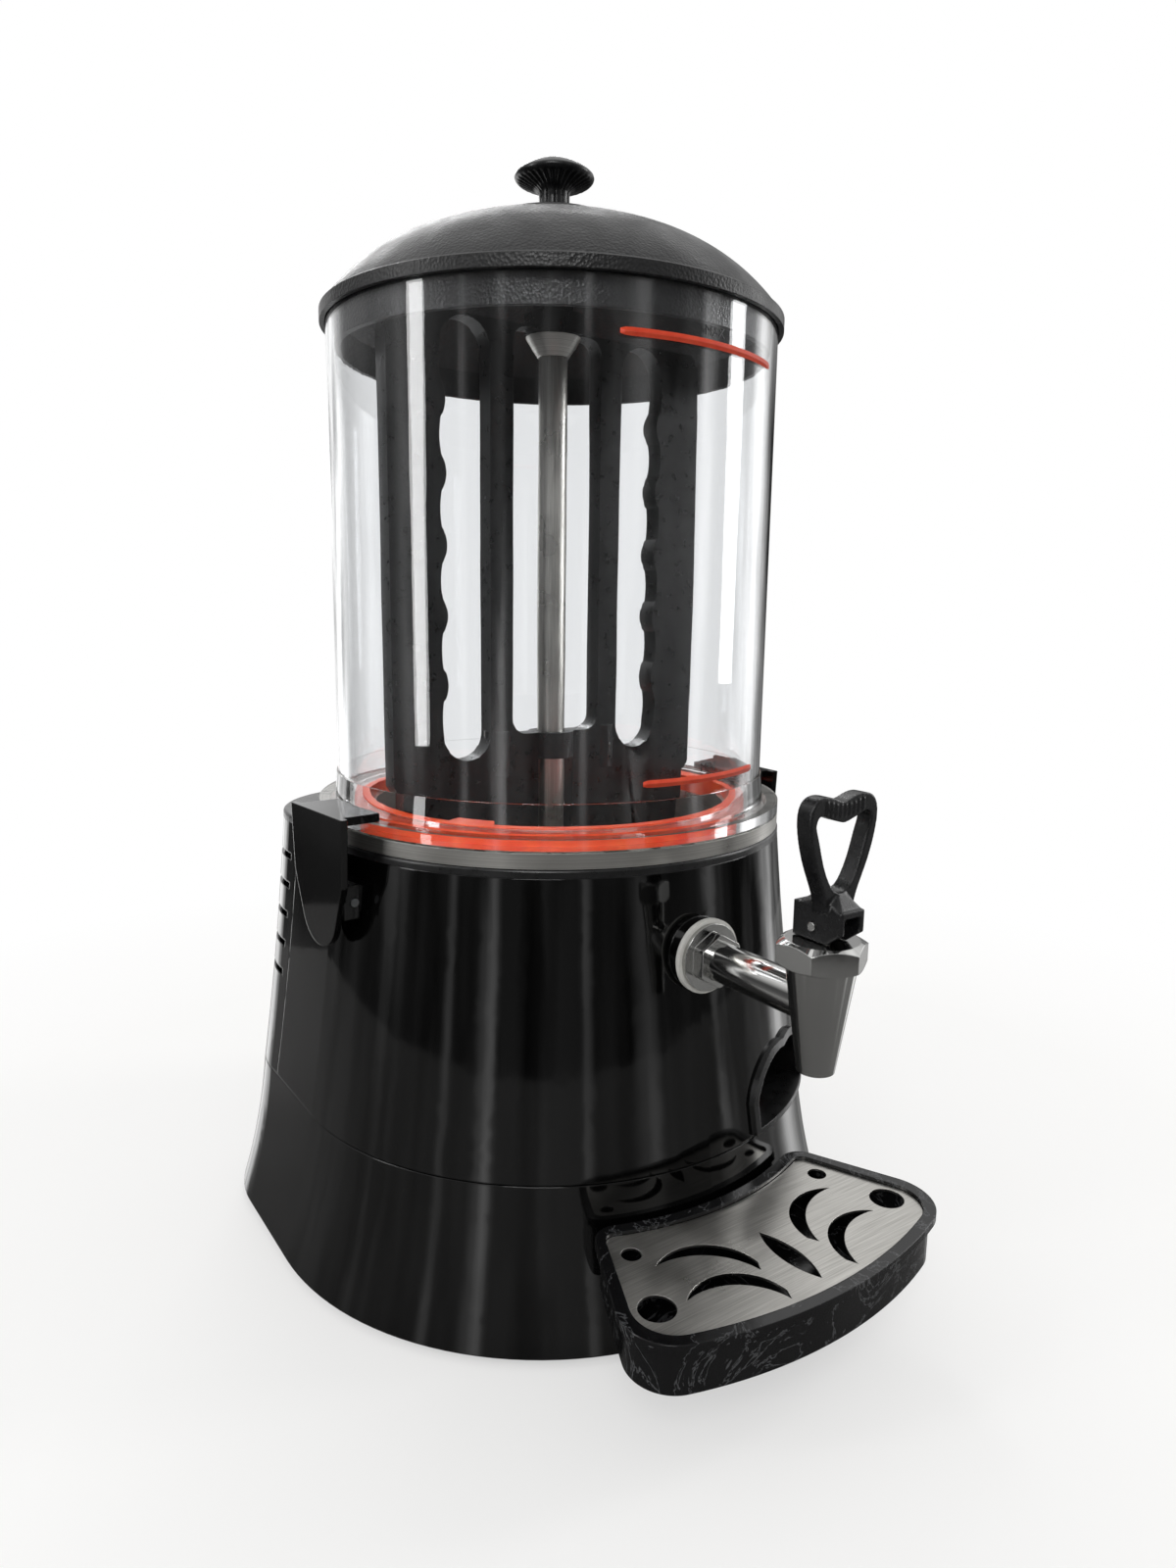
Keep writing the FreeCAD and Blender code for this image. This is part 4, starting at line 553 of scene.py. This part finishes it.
clearBowl = makeClearPc()
ringSteel = makeBrushed("spunStainless", "round")
tubeSteel = makeBrushed("drawnStainless", "up", (0.24, 0.38))
gridSteel = makeBrushed("beltBrushedStainless", "across")
tapChrome = makeChrome()
redSilicone = makeSilicone("redSilicone", "#E2401A", "#F0602F", 0.15)
clearSilicone = makeSilicone("clearSilicone", "#D9DAD8", "#ECEDEB", 0.6)
zincSheet = makePlainMetal("zincedSteel", "#A9ABAC", "#8A8D8F", 0.3, 6)
tinBronze = makePlainMetal("tinBronze", "#B08B4F", "#8C6B38", 0.25, 3)
hammeredPaint = makePlainMetal("hammeredPaint", "#5C6063", "#45494C", 0.35, 3, metallic=0.4)
print("finishes made:", len(bpy.data.materials))

dress = {
    blackGloss: ("base_skirt", "front_housing", "rear_cover", "latch_left", "latch_right", "power_rocker"),
    blackFilmed: ("drip_tray",),
    blackGrained: ("lid_shell",),
    blackNylon: ("stirrer_frame", "coupling_block", "top_deck", "control_panel", "latch_brackets",
                 "switch_body", "cable_gland"),
    blackAcetal: ("lid_knob", "thermostat_dial", "tap_handle"),
    greyNylon: ("tap_washer",),
    creamPhenolic: ("thermostat_body", "terminal_block", "overheat_cutout"),
    redPolystyrene: ("signal_lamps",),
    footRubber: ("rubber_feet",),
    clearBowl: ("bowl",),
    ringSteel: ("steel_ring", "product_pan", "water_tank", "drive_cup"),
    tubeSteel: ("centre_tube", "drive_shaft", "outlet_pipe", "heating_element", "tap_stem"),
    gridSteel: ("drip_grid",),
    tapChrome: ("tap_body", "tap_bonnet", "tap_nut", "tap_pin"),
    redSilicone: ("seal_ring",),
    clearSilicone: ("tap_plug",),
    zincSheet: ("bottom_plate", "bottom_screws", "rear_cover_screws", "knob_screw", "latch_pins",
                "bracket_posts", "motor_bracket"),
    tinBronze: ("shaft_bushes",),
    hammeredPaint: ("gearbox", "drive_motor"),
}
for material, names in dress.items():
    for name in names:
        for place in nodes[name].material_slots:
            place.material = material
dressed = {name for names in dress.values() for name in names}
print("nodes still plain:", sorted(set(nodes) - dressed))


# Joins rows of points, one after the other, with faces.
def skinRows(shape, rows, startCap=True, endCap=True):
    for near, beyond in zip(rows, rows[1:]):
        for i in range(len(near)):
            j = (i + 1) % len(near)
            shape.faces.new((near[i], near[j], beyond[j], beyond[i]))
    if startCap:
        shape.faces.new(rows[0][::-1])
    if endCap:
        shape.faces.new(rows[-1])


# Skins rings of points into a smooth piece that moves with a body.
def skin(name, rings, material, body, startCap=True, endCap=True):
    shape = bmesh.new()
    skinRows(shape, [[shape.verts.new(point) for point in ring] for ring in rings], startCap, endCap)
    return putPiece(name, shape, material, body)


def putPiece(name, shape, material, body):
    bmesh.ops.recalc_face_normals(shape, faces=shape.faces)
    mesh = bpy.data.meshes.new(name)
    shape.to_mesh(mesh)
    shape.free()
    mesh.shade_smooth()
    mesh.materials.append(material)
    piece = bpy.data.objects.new(name, mesh)
    bpy.context.scene.collection.objects.link(piece)
    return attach(piece, body)


# Mushroom knob: gripped stem with flutes, radial ribs under the disc, soft domed top.
knobShape = {
    "flutes": 12,
    "fluteDepth": 0.9,
    "ribs": 32,
    "ribDepth": 0.7,
    "stemRadius": 7.75,
    "capTall": 15,  # from the underside of the disc to the top of the dome
    "rimTall": 8,  # from there to the foot of the dome
    "steps": 384,
    "domeRings": 9,
}


def makeKnob():
    k = knobShape
    low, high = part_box("lid_knob")
    centre = (low + high) / 2
    wide = (high.x - low.x) / 2 / mm
    tall = (high.z - low.z) / mm
    stem = k["stemRadius"]
    under = tall - k["capTall"]
    edge = wide - 1
    rim = under + k["rimTall"]
    # radius, height, share of a flute, share of a rib
    profile = [(stem, 0, 1, 0), (stem, under / 3, 1, 0), (stem, under * 0.6, 1, 0), (stem, under - 1, 0.7, 0),
               (stem + 0.8, under, 0, 0), (10, under + 0.9, 0, 0.2), (11, under + 1.3, 0, 1),
               (14, under + 2.6, 0, 1), (17, under + 3.9, 0, 1), (18, under + 4.3, 0, 0.3),
               (edge, under + 5, 0, 0), (wide - 0.25, under + 5.8, 0, 0), (wide, under + 6.5, 0, 0),
               (wide - 0.25, under + 7.3, 0, 0), (edge, rim, 0, 0)]
    rise = tall - rim
    ball = (edge * edge + rise * rise) / (2 * rise)
    widest = math.asin(edge / ball)
    for i in range(1, k["domeRings"]):
        angle = widest * (1 - i / k["domeRings"])
        profile.append((ball * math.sin(angle), tall - ball + ball * math.cos(angle), 0, 0))
    rings = []
    for radius, height, flute, rib in profile:
        ring = []
        for i in range(k["steps"]):
            turn = math.tau * i / k["steps"]
            groove = max(0, math.cos(k["flutes"] * turn)) ** 4
            r = (radius - flute * k["fluteDepth"] * groove) * mm
            z = (height + rib * k["ribDepth"] * (0.5 + 0.5 * math.cos(k["ribs"] * turn))) * mm
            ring.append((centre.x + r * math.cos(turn), centre.y + r * math.sin(turn), low.z + z))
        rings.append(ring)
    knob = skin("knobGrip", rings, blackAcetal, "lid")
    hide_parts("lid_knob")


makeKnob()
print("knob made")

# Tap lever: the CAD's heart loop and cam foot with moulded corners, a saddle under the loop and grip ridges.
leverShape = {
    "voxelMm": 0.42,
    "softenSteps": 6,
    "blockHalf": 6.7,
    "blockFront": -14.9,  # from the pin, towards the front
    "blockTop": 7.6,  # from the pin, upwards
    "blockTaper": 0.6,  # of its half width, towards the top
    "taperTop": 4,  # below the saddle's top
    "saddleTop": 15.0,
    "saddleHalf": 2.0,
    "loopFront": -8.0,
    "loopRear": -0.4,
    "blockRear": 9.5,
    "ridges": 9,
    "ridgePitch": 2.5,
    "ridgeHigh": 4.6,
    "ridgeProud": 0.45,
    "ridgeHalf": 0.45,
    "ridgeBite": 1,  # into the loop
    "ridgeMiddle": 47.8,
    "ridgeRise": 0.9,  # the ridges at the sides follow the top of the heart
    "ridgeLift": 0.5,
    "ridgeSweep": 4,
}


def addBlock(shape, corners):
    points = [shape.verts.new(c) for c in corners]
    bmesh.ops.convex_hull(shape, input=points)


def makeLever():
    v = leverShape
    low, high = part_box("tap_pin")
    pin = (low + high) / 2
    shape = bmesh.new()
    shape.from_mesh(nodes["tap_handle"].data)
    for start, end in ((v["blockFront"], v["loopFront"]), (v["blockRear"], v["loopRear"])):
        corners = []
        for side in (-1, 1):
            for x, y, z in ((v["blockHalf"], start, v["blockTop"]), (v["blockHalf"], end, v["blockTop"]),
                            (v["blockHalf"] - v["blockTaper"], end, v["saddleTop"] - v["taperTop"]),
                            (v["saddleHalf"], end, v["saddleTop"])):
                corners.append((side * x * mm, pin.y + y * mm, pin.z + z * mm))
        addBlock(shape, corners)
    for i in range(v["ridges"]):
        x = (i - (v["ridges"] - 1) / 2) * v["ridgePitch"]
        z = v["ridgeMiddle"] - v["ridgeRise"] * math.cos(x / v["ridgeSweep"]) + v["ridgeLift"]
        corners = []
        for side in (-v["ridgeHalf"], v["ridgeHalf"]):
            for y in (v["loopFront"] - v["ridgeProud"], v["loopFront"] + v["ridgeBite"]):
                for rise in (-v["ridgeHigh"] / 2, v["ridgeHigh"] / 2):
                    corners.append(((x + side) * mm, pin.y + y * mm, pin.z + (z + rise) * mm))
        addBlock(shape, corners)
    lever = putPiece("heartLever", shape, blackAcetal, "tap_lever")
    whole = lever.modifiers.new("joinAll", "REMESH")
    whole.mode = "VOXEL"
    whole.voxel_size = v["voxelMm"] * mm
    whole.use_smooth_shade = True
    soft = lever.modifiers.new("softEdges", "SMOOTH")
    soft.factor = 0.5
    soft.iterations = v["softenSteps"]
    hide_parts("tap_handle")


makeLever()
print("tap lever made")

# Level lines, silk-screened round the outside of the bowl, with plain words at their ends.
levelLines = {
    # name: height, from and to in degrees from the front, towards the right, word
    "places": {
        "highLevel": (446.0, -18.5, 31.0, "MAX"),
        "lowLevel": (255.0, -11.0, 29.4, "MIN"),
    },
    "bowlRadius": 113.8,
    "inkFoot": 0.02,  # of the ink's edge off the bowl
    "inkLift": 0.08,  # of its face
    "bevel": 0.1,
    "tall": 3.5,
    "steps": 40,
    "roundEnd": 0.35,  # share of the height, squared, at the very ends
    "wordTall": 4.2,
    "wordBack": 4,  # degrees from the middle of the line
    "wordRise": 3.4,
}


def aroundBowl(degrees, radius, height):
    turn = math.radians(degrees)
    return (radius * mm * math.sin(turn), bowlAxisY - radius * mm * math.cos(turn), height * mm)


def makeLevelLines():
    v = levelLines
    radius = v["bowlRadius"]
    foot = radius + v["inkFoot"]
    face = radius + v["inkLift"]
    for name, (height, start, end, word) in v["places"].items():
        rings = []
        for i in range(v["steps"] + 1):
            degrees = start + (end - start) * i / v["steps"]
            nearEnd = min(i, v["steps"] - i) / 2
            half = v["tall"] / 2 * math.sqrt(min(1, v["roundEnd"] + nearEnd))
            section = ((foot, height - half), (face, height - half + v["bevel"]),
                       (face, height + half - v["bevel"]), (foot, height + half))
            rings.append([aroundBowl(degrees, r, z) for r, z in section])
        line = skin(name + "Line", rings, levelInk, "base")
        letters = letterMesh(word, v["wordTall"])
        for vertex in letters.vertices:
            degrees = (start + end) / 2 - v["wordBack"] + math.degrees(vertex.co.x / (radius * mm))
            z = height + v["wordRise"] + vertex.co.y / mm
            vertex.co = aroundBowl(degrees, face + vertex.co.z / mm, z)
        text = bpy.data.objects.new(name + "Word", letters)
        letters.materials.append(wordInk)
        bpy.context.scene.collection.objects.link(text)
        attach(text, "base")


capitalShare = 0.72  # height of a capital letter in the built-in font, as a share of its size
letterThick = 0.02  # half of it


# A word as a thin mesh, lower left corner at the origin, letters tallMm high.
def letterMesh(word, tallMm):
    curve = bpy.data.curves.new("letters", "FONT")
    curve.body = word
    curve.size = tallMm * mm / capitalShare
    curve.extrude = letterThick * mm
    curve.resolution_u = 4
    holder = bpy.data.objects.new("letters", curve)
    bpy.context.scene.collection.objects.link(holder)
    bpy.context.view_layer.update()
    mesh = bpy.data.meshes.new_from_object(holder.evaluated_get(bpy.context.evaluated_depsgraph_get()))
    bpy.data.objects.remove(holder)
    bpy.data.curves.remove(curve)
    return mesh


makeLevelLines()
print("level lines made")

# Control panel: plain numbers round the dial, a pointer on it, marks on the rocker and domed lamps.
panel = {
    "turn": 28.0,  # degrees from the front towards the right
    "faceReach": 122.0,
    "dial": (-14.0, 96.5),
    "rocker": (16.0, 96.5),
    "lamps": ((4.7, 92.0), (4.7, 101.0)),
    "numberReach": 15.6,
    "numberTall": 2.6,
    "numbers": ("0", "30", "50", "70", "90"),
    "numberLift": 0.05,
    "dialSweep": (225, -270),  # degrees: where the numbers start, and how far they go
    "dialFront": 130.3,
    "pointer": ((3.0, 0.9), (10.6, 0.45)),  # distance from the dial's middle, half width
    "pointerThick": (-0.2, 0.18),
    "markTall": 3.0,
    # name: mark, height from the rocker's middle, lift off the panel, tilt of the rocker's face
    "marks": {"rockerOff": ("0", -4.5, 1.85, -10.7), "rockerOn": ("I", 4.5, 3.7, -13.2)},
    "domeLift": 2.0,
    "dome": ((2.95, -0.1), (2.8, 0.35), (2.3, 0.8), (1.5, 1.15), (0.6, 1.3)),  # radius, rise
    "domeSteps": 32,
}


def panelFrame(side, reach, height):
    turn = math.radians(panel["turn"])
    across = Vector((math.cos(turn), math.sin(turn), 0))
    outward = Vector((math.sin(turn), -math.cos(turn), 0))
    place = Vector((0, bowlAxisY, height * mm)) + across * side * mm + outward * reach * mm
    return Matrix.Translation(place) @ Matrix((across, Vector((0, 0, 1)), outward)).transposed().to_4x4()


def printWord(name, word, tallMm, frameMatrix, body):
    letters = letterMesh(word, tallMm)
    xs = [v.co.x for v in letters.vertices]
    ys = [v.co.y for v in letters.vertices]
    middle = Vector(((min(xs) + max(xs)) / 2, (min(ys) + max(ys)) / 2, 0))
    letters.transform(frameMatrix @ Matrix.Translation(-middle))
    letters.materials.append(dialInk)
    text = bpy.data.objects.new(name, letters)
    bpy.context.scene.collection.objects.link(text)
    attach(text, body)


def dressPanel():
    q = panel
    side, height = q["dial"]
    start, sweep = q["dialSweep"]
    for i, word in enumerate(q["numbers"]):
        angle = math.radians(start + sweep * i / (len(q["numbers"]) - 1))
        x = side + q["numberReach"] * math.cos(angle)
        z = height + q["numberReach"] * math.sin(angle)
        printWord("dialNumber" + word, word, q["numberTall"],
                  panelFrame(x, q["faceReach"] + q["numberLift"], z), "base")
    pointer = bmesh.new()
    angle = math.radians(start)
    corners = []
    for along, half in q["pointer"]:
        for across in (-half, half):
            for lift in q["pointerThick"]:
                x = along * math.cos(angle) - across * math.sin(angle)
                z = along * math.sin(angle) + across * math.cos(angle)
                corners.append((x * mm, z * mm, lift * mm))
    addBlock(pointer, corners)
    bmesh.ops.transform(pointer, matrix=panelFrame(side, q["dialFront"], height), verts=pointer.verts)
    putPiece("dialPointer", pointer, dialInk, "dial")
    side, height = q["rocker"]
    for name, (mark, rise, lift, tilt) in q["marks"].items():
        face = panelFrame(side, q["faceReach"] + lift, height + rise)
        tilted = face @ Matrix.Rotation(math.radians(tilt), 4, "X")
        printWord(name, mark, q["markTall"], tilted, "rocker")
    turns = [math.tau * n / q["domeSteps"] for n in range(q["domeSteps"])]
    for i, (side, height) in enumerate(q["lamps"]):
        place = panelFrame(side, q["faceReach"] + q["domeLift"], height)
        rings = []
        for radius, rise in q["dome"]:
            rings.append([place @ Vector((radius * mm * math.cos(a), radius * mm * math.sin(a), rise * mm))
                          for a in turns])
        skin("lampDome%d" % (i + 1), rings, redPolystyrene, "base")


dressPanel()
print("panel dressed")

# Pan-head screws with a cross recess, on the rear cover and under the base.
screwShape = {
    "headRadius": 3.8,
    "headTall": 1.8,
    "headChamfer": (0.1, 0.3),  # inwards, upwards
    "headSide": 0.9,  # height of its upright side
    "crown": 0.5,
    "shankRadius": 2.0,
    "shankLong": 10.0,
    "crossReach": 2.2,
    "crossHalf": 0.5,
    "crossDeep": 1.1,
    "crossSlope": 0.25,  # width of the recess's slanted walls
    "steps": 64,
    "rings": 14,
}


# Where the CAD's screws stand: the middle of each head's outer face. axis and side say which way it faces.
def screwEnds(node, axis, side):
    low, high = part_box(node)
    middle = (low + high) / 2
    others = [i for i in range(3) if i != axis]
    groups = {}
    for vertex in nodes[node].data.vertices:
        key = tuple(vertex.co[i] > middle[i] for i in others)
        groups.setdefault(key, []).append(vertex.co)
    ends = []
    for points in groups.values():
        end = [0, 0, 0]
        for i in others:
            values = [point[i] for point in points]
            end[i] = (min(values) + max(values)) / 2
        along = [point[axis] for point in points]
        end[axis] = max(along) if side > 0 else min(along)
        ends.append(Vector(end))
    return ends


def crossDepth(x, y):
    k = screwShape
    inside = max(min(k["crossHalf"] - abs(x), k["crossReach"] - abs(y)),
                 min(k["crossHalf"] - abs(y), k["crossReach"] - abs(x)))
    return k["crossDeep"] * min(1, max(0, inside / k["crossSlope"]))


def screwProfile():
    k = screwShape
    inwards, upwards = k["headChamfer"]
    profile = [(k["shankRadius"], -k["shankLong"]), (k["shankRadius"], 0), (k["headRadius"] - inwards, 0),
               (k["headRadius"], upwards), (k["headRadius"], k["headSide"])]
    for i in range(k["rings"]):
        r = k["headRadius"] * (1 - i / k["rings"]) - inwards
        profile.append((r, k["headTall"] - k["crown"] * (r / k["headRadius"]) ** 3))
    return profile


def makeScrews(name, node, axis, side):
    k = screwShape
    shape = bmesh.new()
    outward = Vector([side if i == axis else 0 for i in range(3)])
    turned = outward.to_track_quat("Z", "Y").to_matrix().to_4x4()
    for end in screwEnds(node, axis, side):
        place = Matrix.Translation(end - outward * k["headTall"] * mm) @ turned
        rows = []
        for radius, rise in screwProfile():
            row = []
            for n in range(k["steps"]):
                turn = math.tau * n / k["steps"]
                x, y = radius * math.cos(turn), radius * math.sin(turn)
                depth = crossDepth(x, y) if rise > k["headSide"] else 0
                row.append(shape.verts.new(place @ (Vector((x, y, rise - depth)) * mm)))
            rows.append(row)
        skinRows(shape, rows)
    screws = putPiece(name, shape, zincSheet, "base")
    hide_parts(node)


makeScrews("rearScrews", "rear_cover_screws", 1, 1)
makeScrews("footScrews", "bottom_screws", 2, -1)
print("screws made")

# Cable gland: hexagon flange against the cover, ribbed cap nut, open bore.
glandShape = {
    "reach": 9.0,  # out of the wall
    "flangeRadius": 11.9,
    "flangeFrom": 0.3,
    "flangeTo": 4.0,
    "chamfer": 0.5,
    "capRadius": 8.9,
    "ribTo": 2.6,  # from the flange, outwards
    "ribFade": 3.4,
    "mouthRadius": 6.6,
    "mouthLip": (0.6, 0.7),  # along, outwards
    "bore": 4.5,
    "boreLip": (0.5, 0.4),
    "inside": 11.0,
    "ribs": 14,
    "ribDepth": 0.5,
    "steps": 168,
}


def makeGland():
    g = glandShape
    low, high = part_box("cable_gland")
    wall = high.y / mm - g["reach"]
    centre = (low + high) / 2
    flat = g["flangeRadius"] * math.cos(math.pi / 6)
    near, far, edge = g["flangeFrom"], g["flangeTo"], g["chamfer"]
    wide, cap, bore = g["flangeRadius"], g["capRadius"], g["bore"]
    lipLong, lipWide = g["mouthLip"]
    boreLong, boreWide = g["boreLip"]
    # distance out of the wall, radius, share of the hexagon, share of the ribs
    profile = ((-g["inside"], bore, 0, 0), (-g["inside"], cap, 0, 0),
               (near, cap, 0, 0), (near, wide - edge, 1, 0),
               (near + edge, wide, 1, 0), (far - edge, wide, 1, 0),
               (far, wide - edge, 1, 0), (far, cap, 0, 1),
               (far + g["ribTo"], cap, 0, 1), (far + g["ribFade"], cap - edge, 0, 0.6),
               (g["reach"] - lipLong, g["mouthRadius"] + lipWide, 0, 0), (g["reach"], g["mouthRadius"], 0, 0),
               (g["reach"], bore + boreWide, 0, 0), (g["reach"] - boreLong, bore, 0, 0),
               (-g["inside"], bore, 0, 0))
    rings = []
    for out, radius, hexagon, rib in profile:
        ring = []
        for i in range(g["steps"]):
            turn = math.tau * i / g["steps"]
            corner = flat / math.cos(turn % (math.pi / 3) - math.pi / 6)
            r = min(radius, corner) if hexagon else radius
            r -= rib * g["ribDepth"] * max(0, math.cos(g["ribs"] * turn)) ** 3
            x = centre.x + r * mm * math.cos(turn)
            z = centre.z + r * mm * math.sin(turn)
            ring.append((x, (wall + out) * mm, z))
        rings.append(ring)
    gland = skin("glandNut", rings, blackNylon, "base", startCap=False, endCap=False)
    shape = bmesh.new()
    shape.from_mesh(gland.data)
    bmesh.ops.remove_doubles(shape, verts=shape.verts, dist=0.001 * mm)  # the profile ends where it starts
    shape.to_mesh(gland.data)
    shape.free()
    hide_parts("cable_gland")


makeGland()
print("gland made")

bpy.context.view_layer.update()
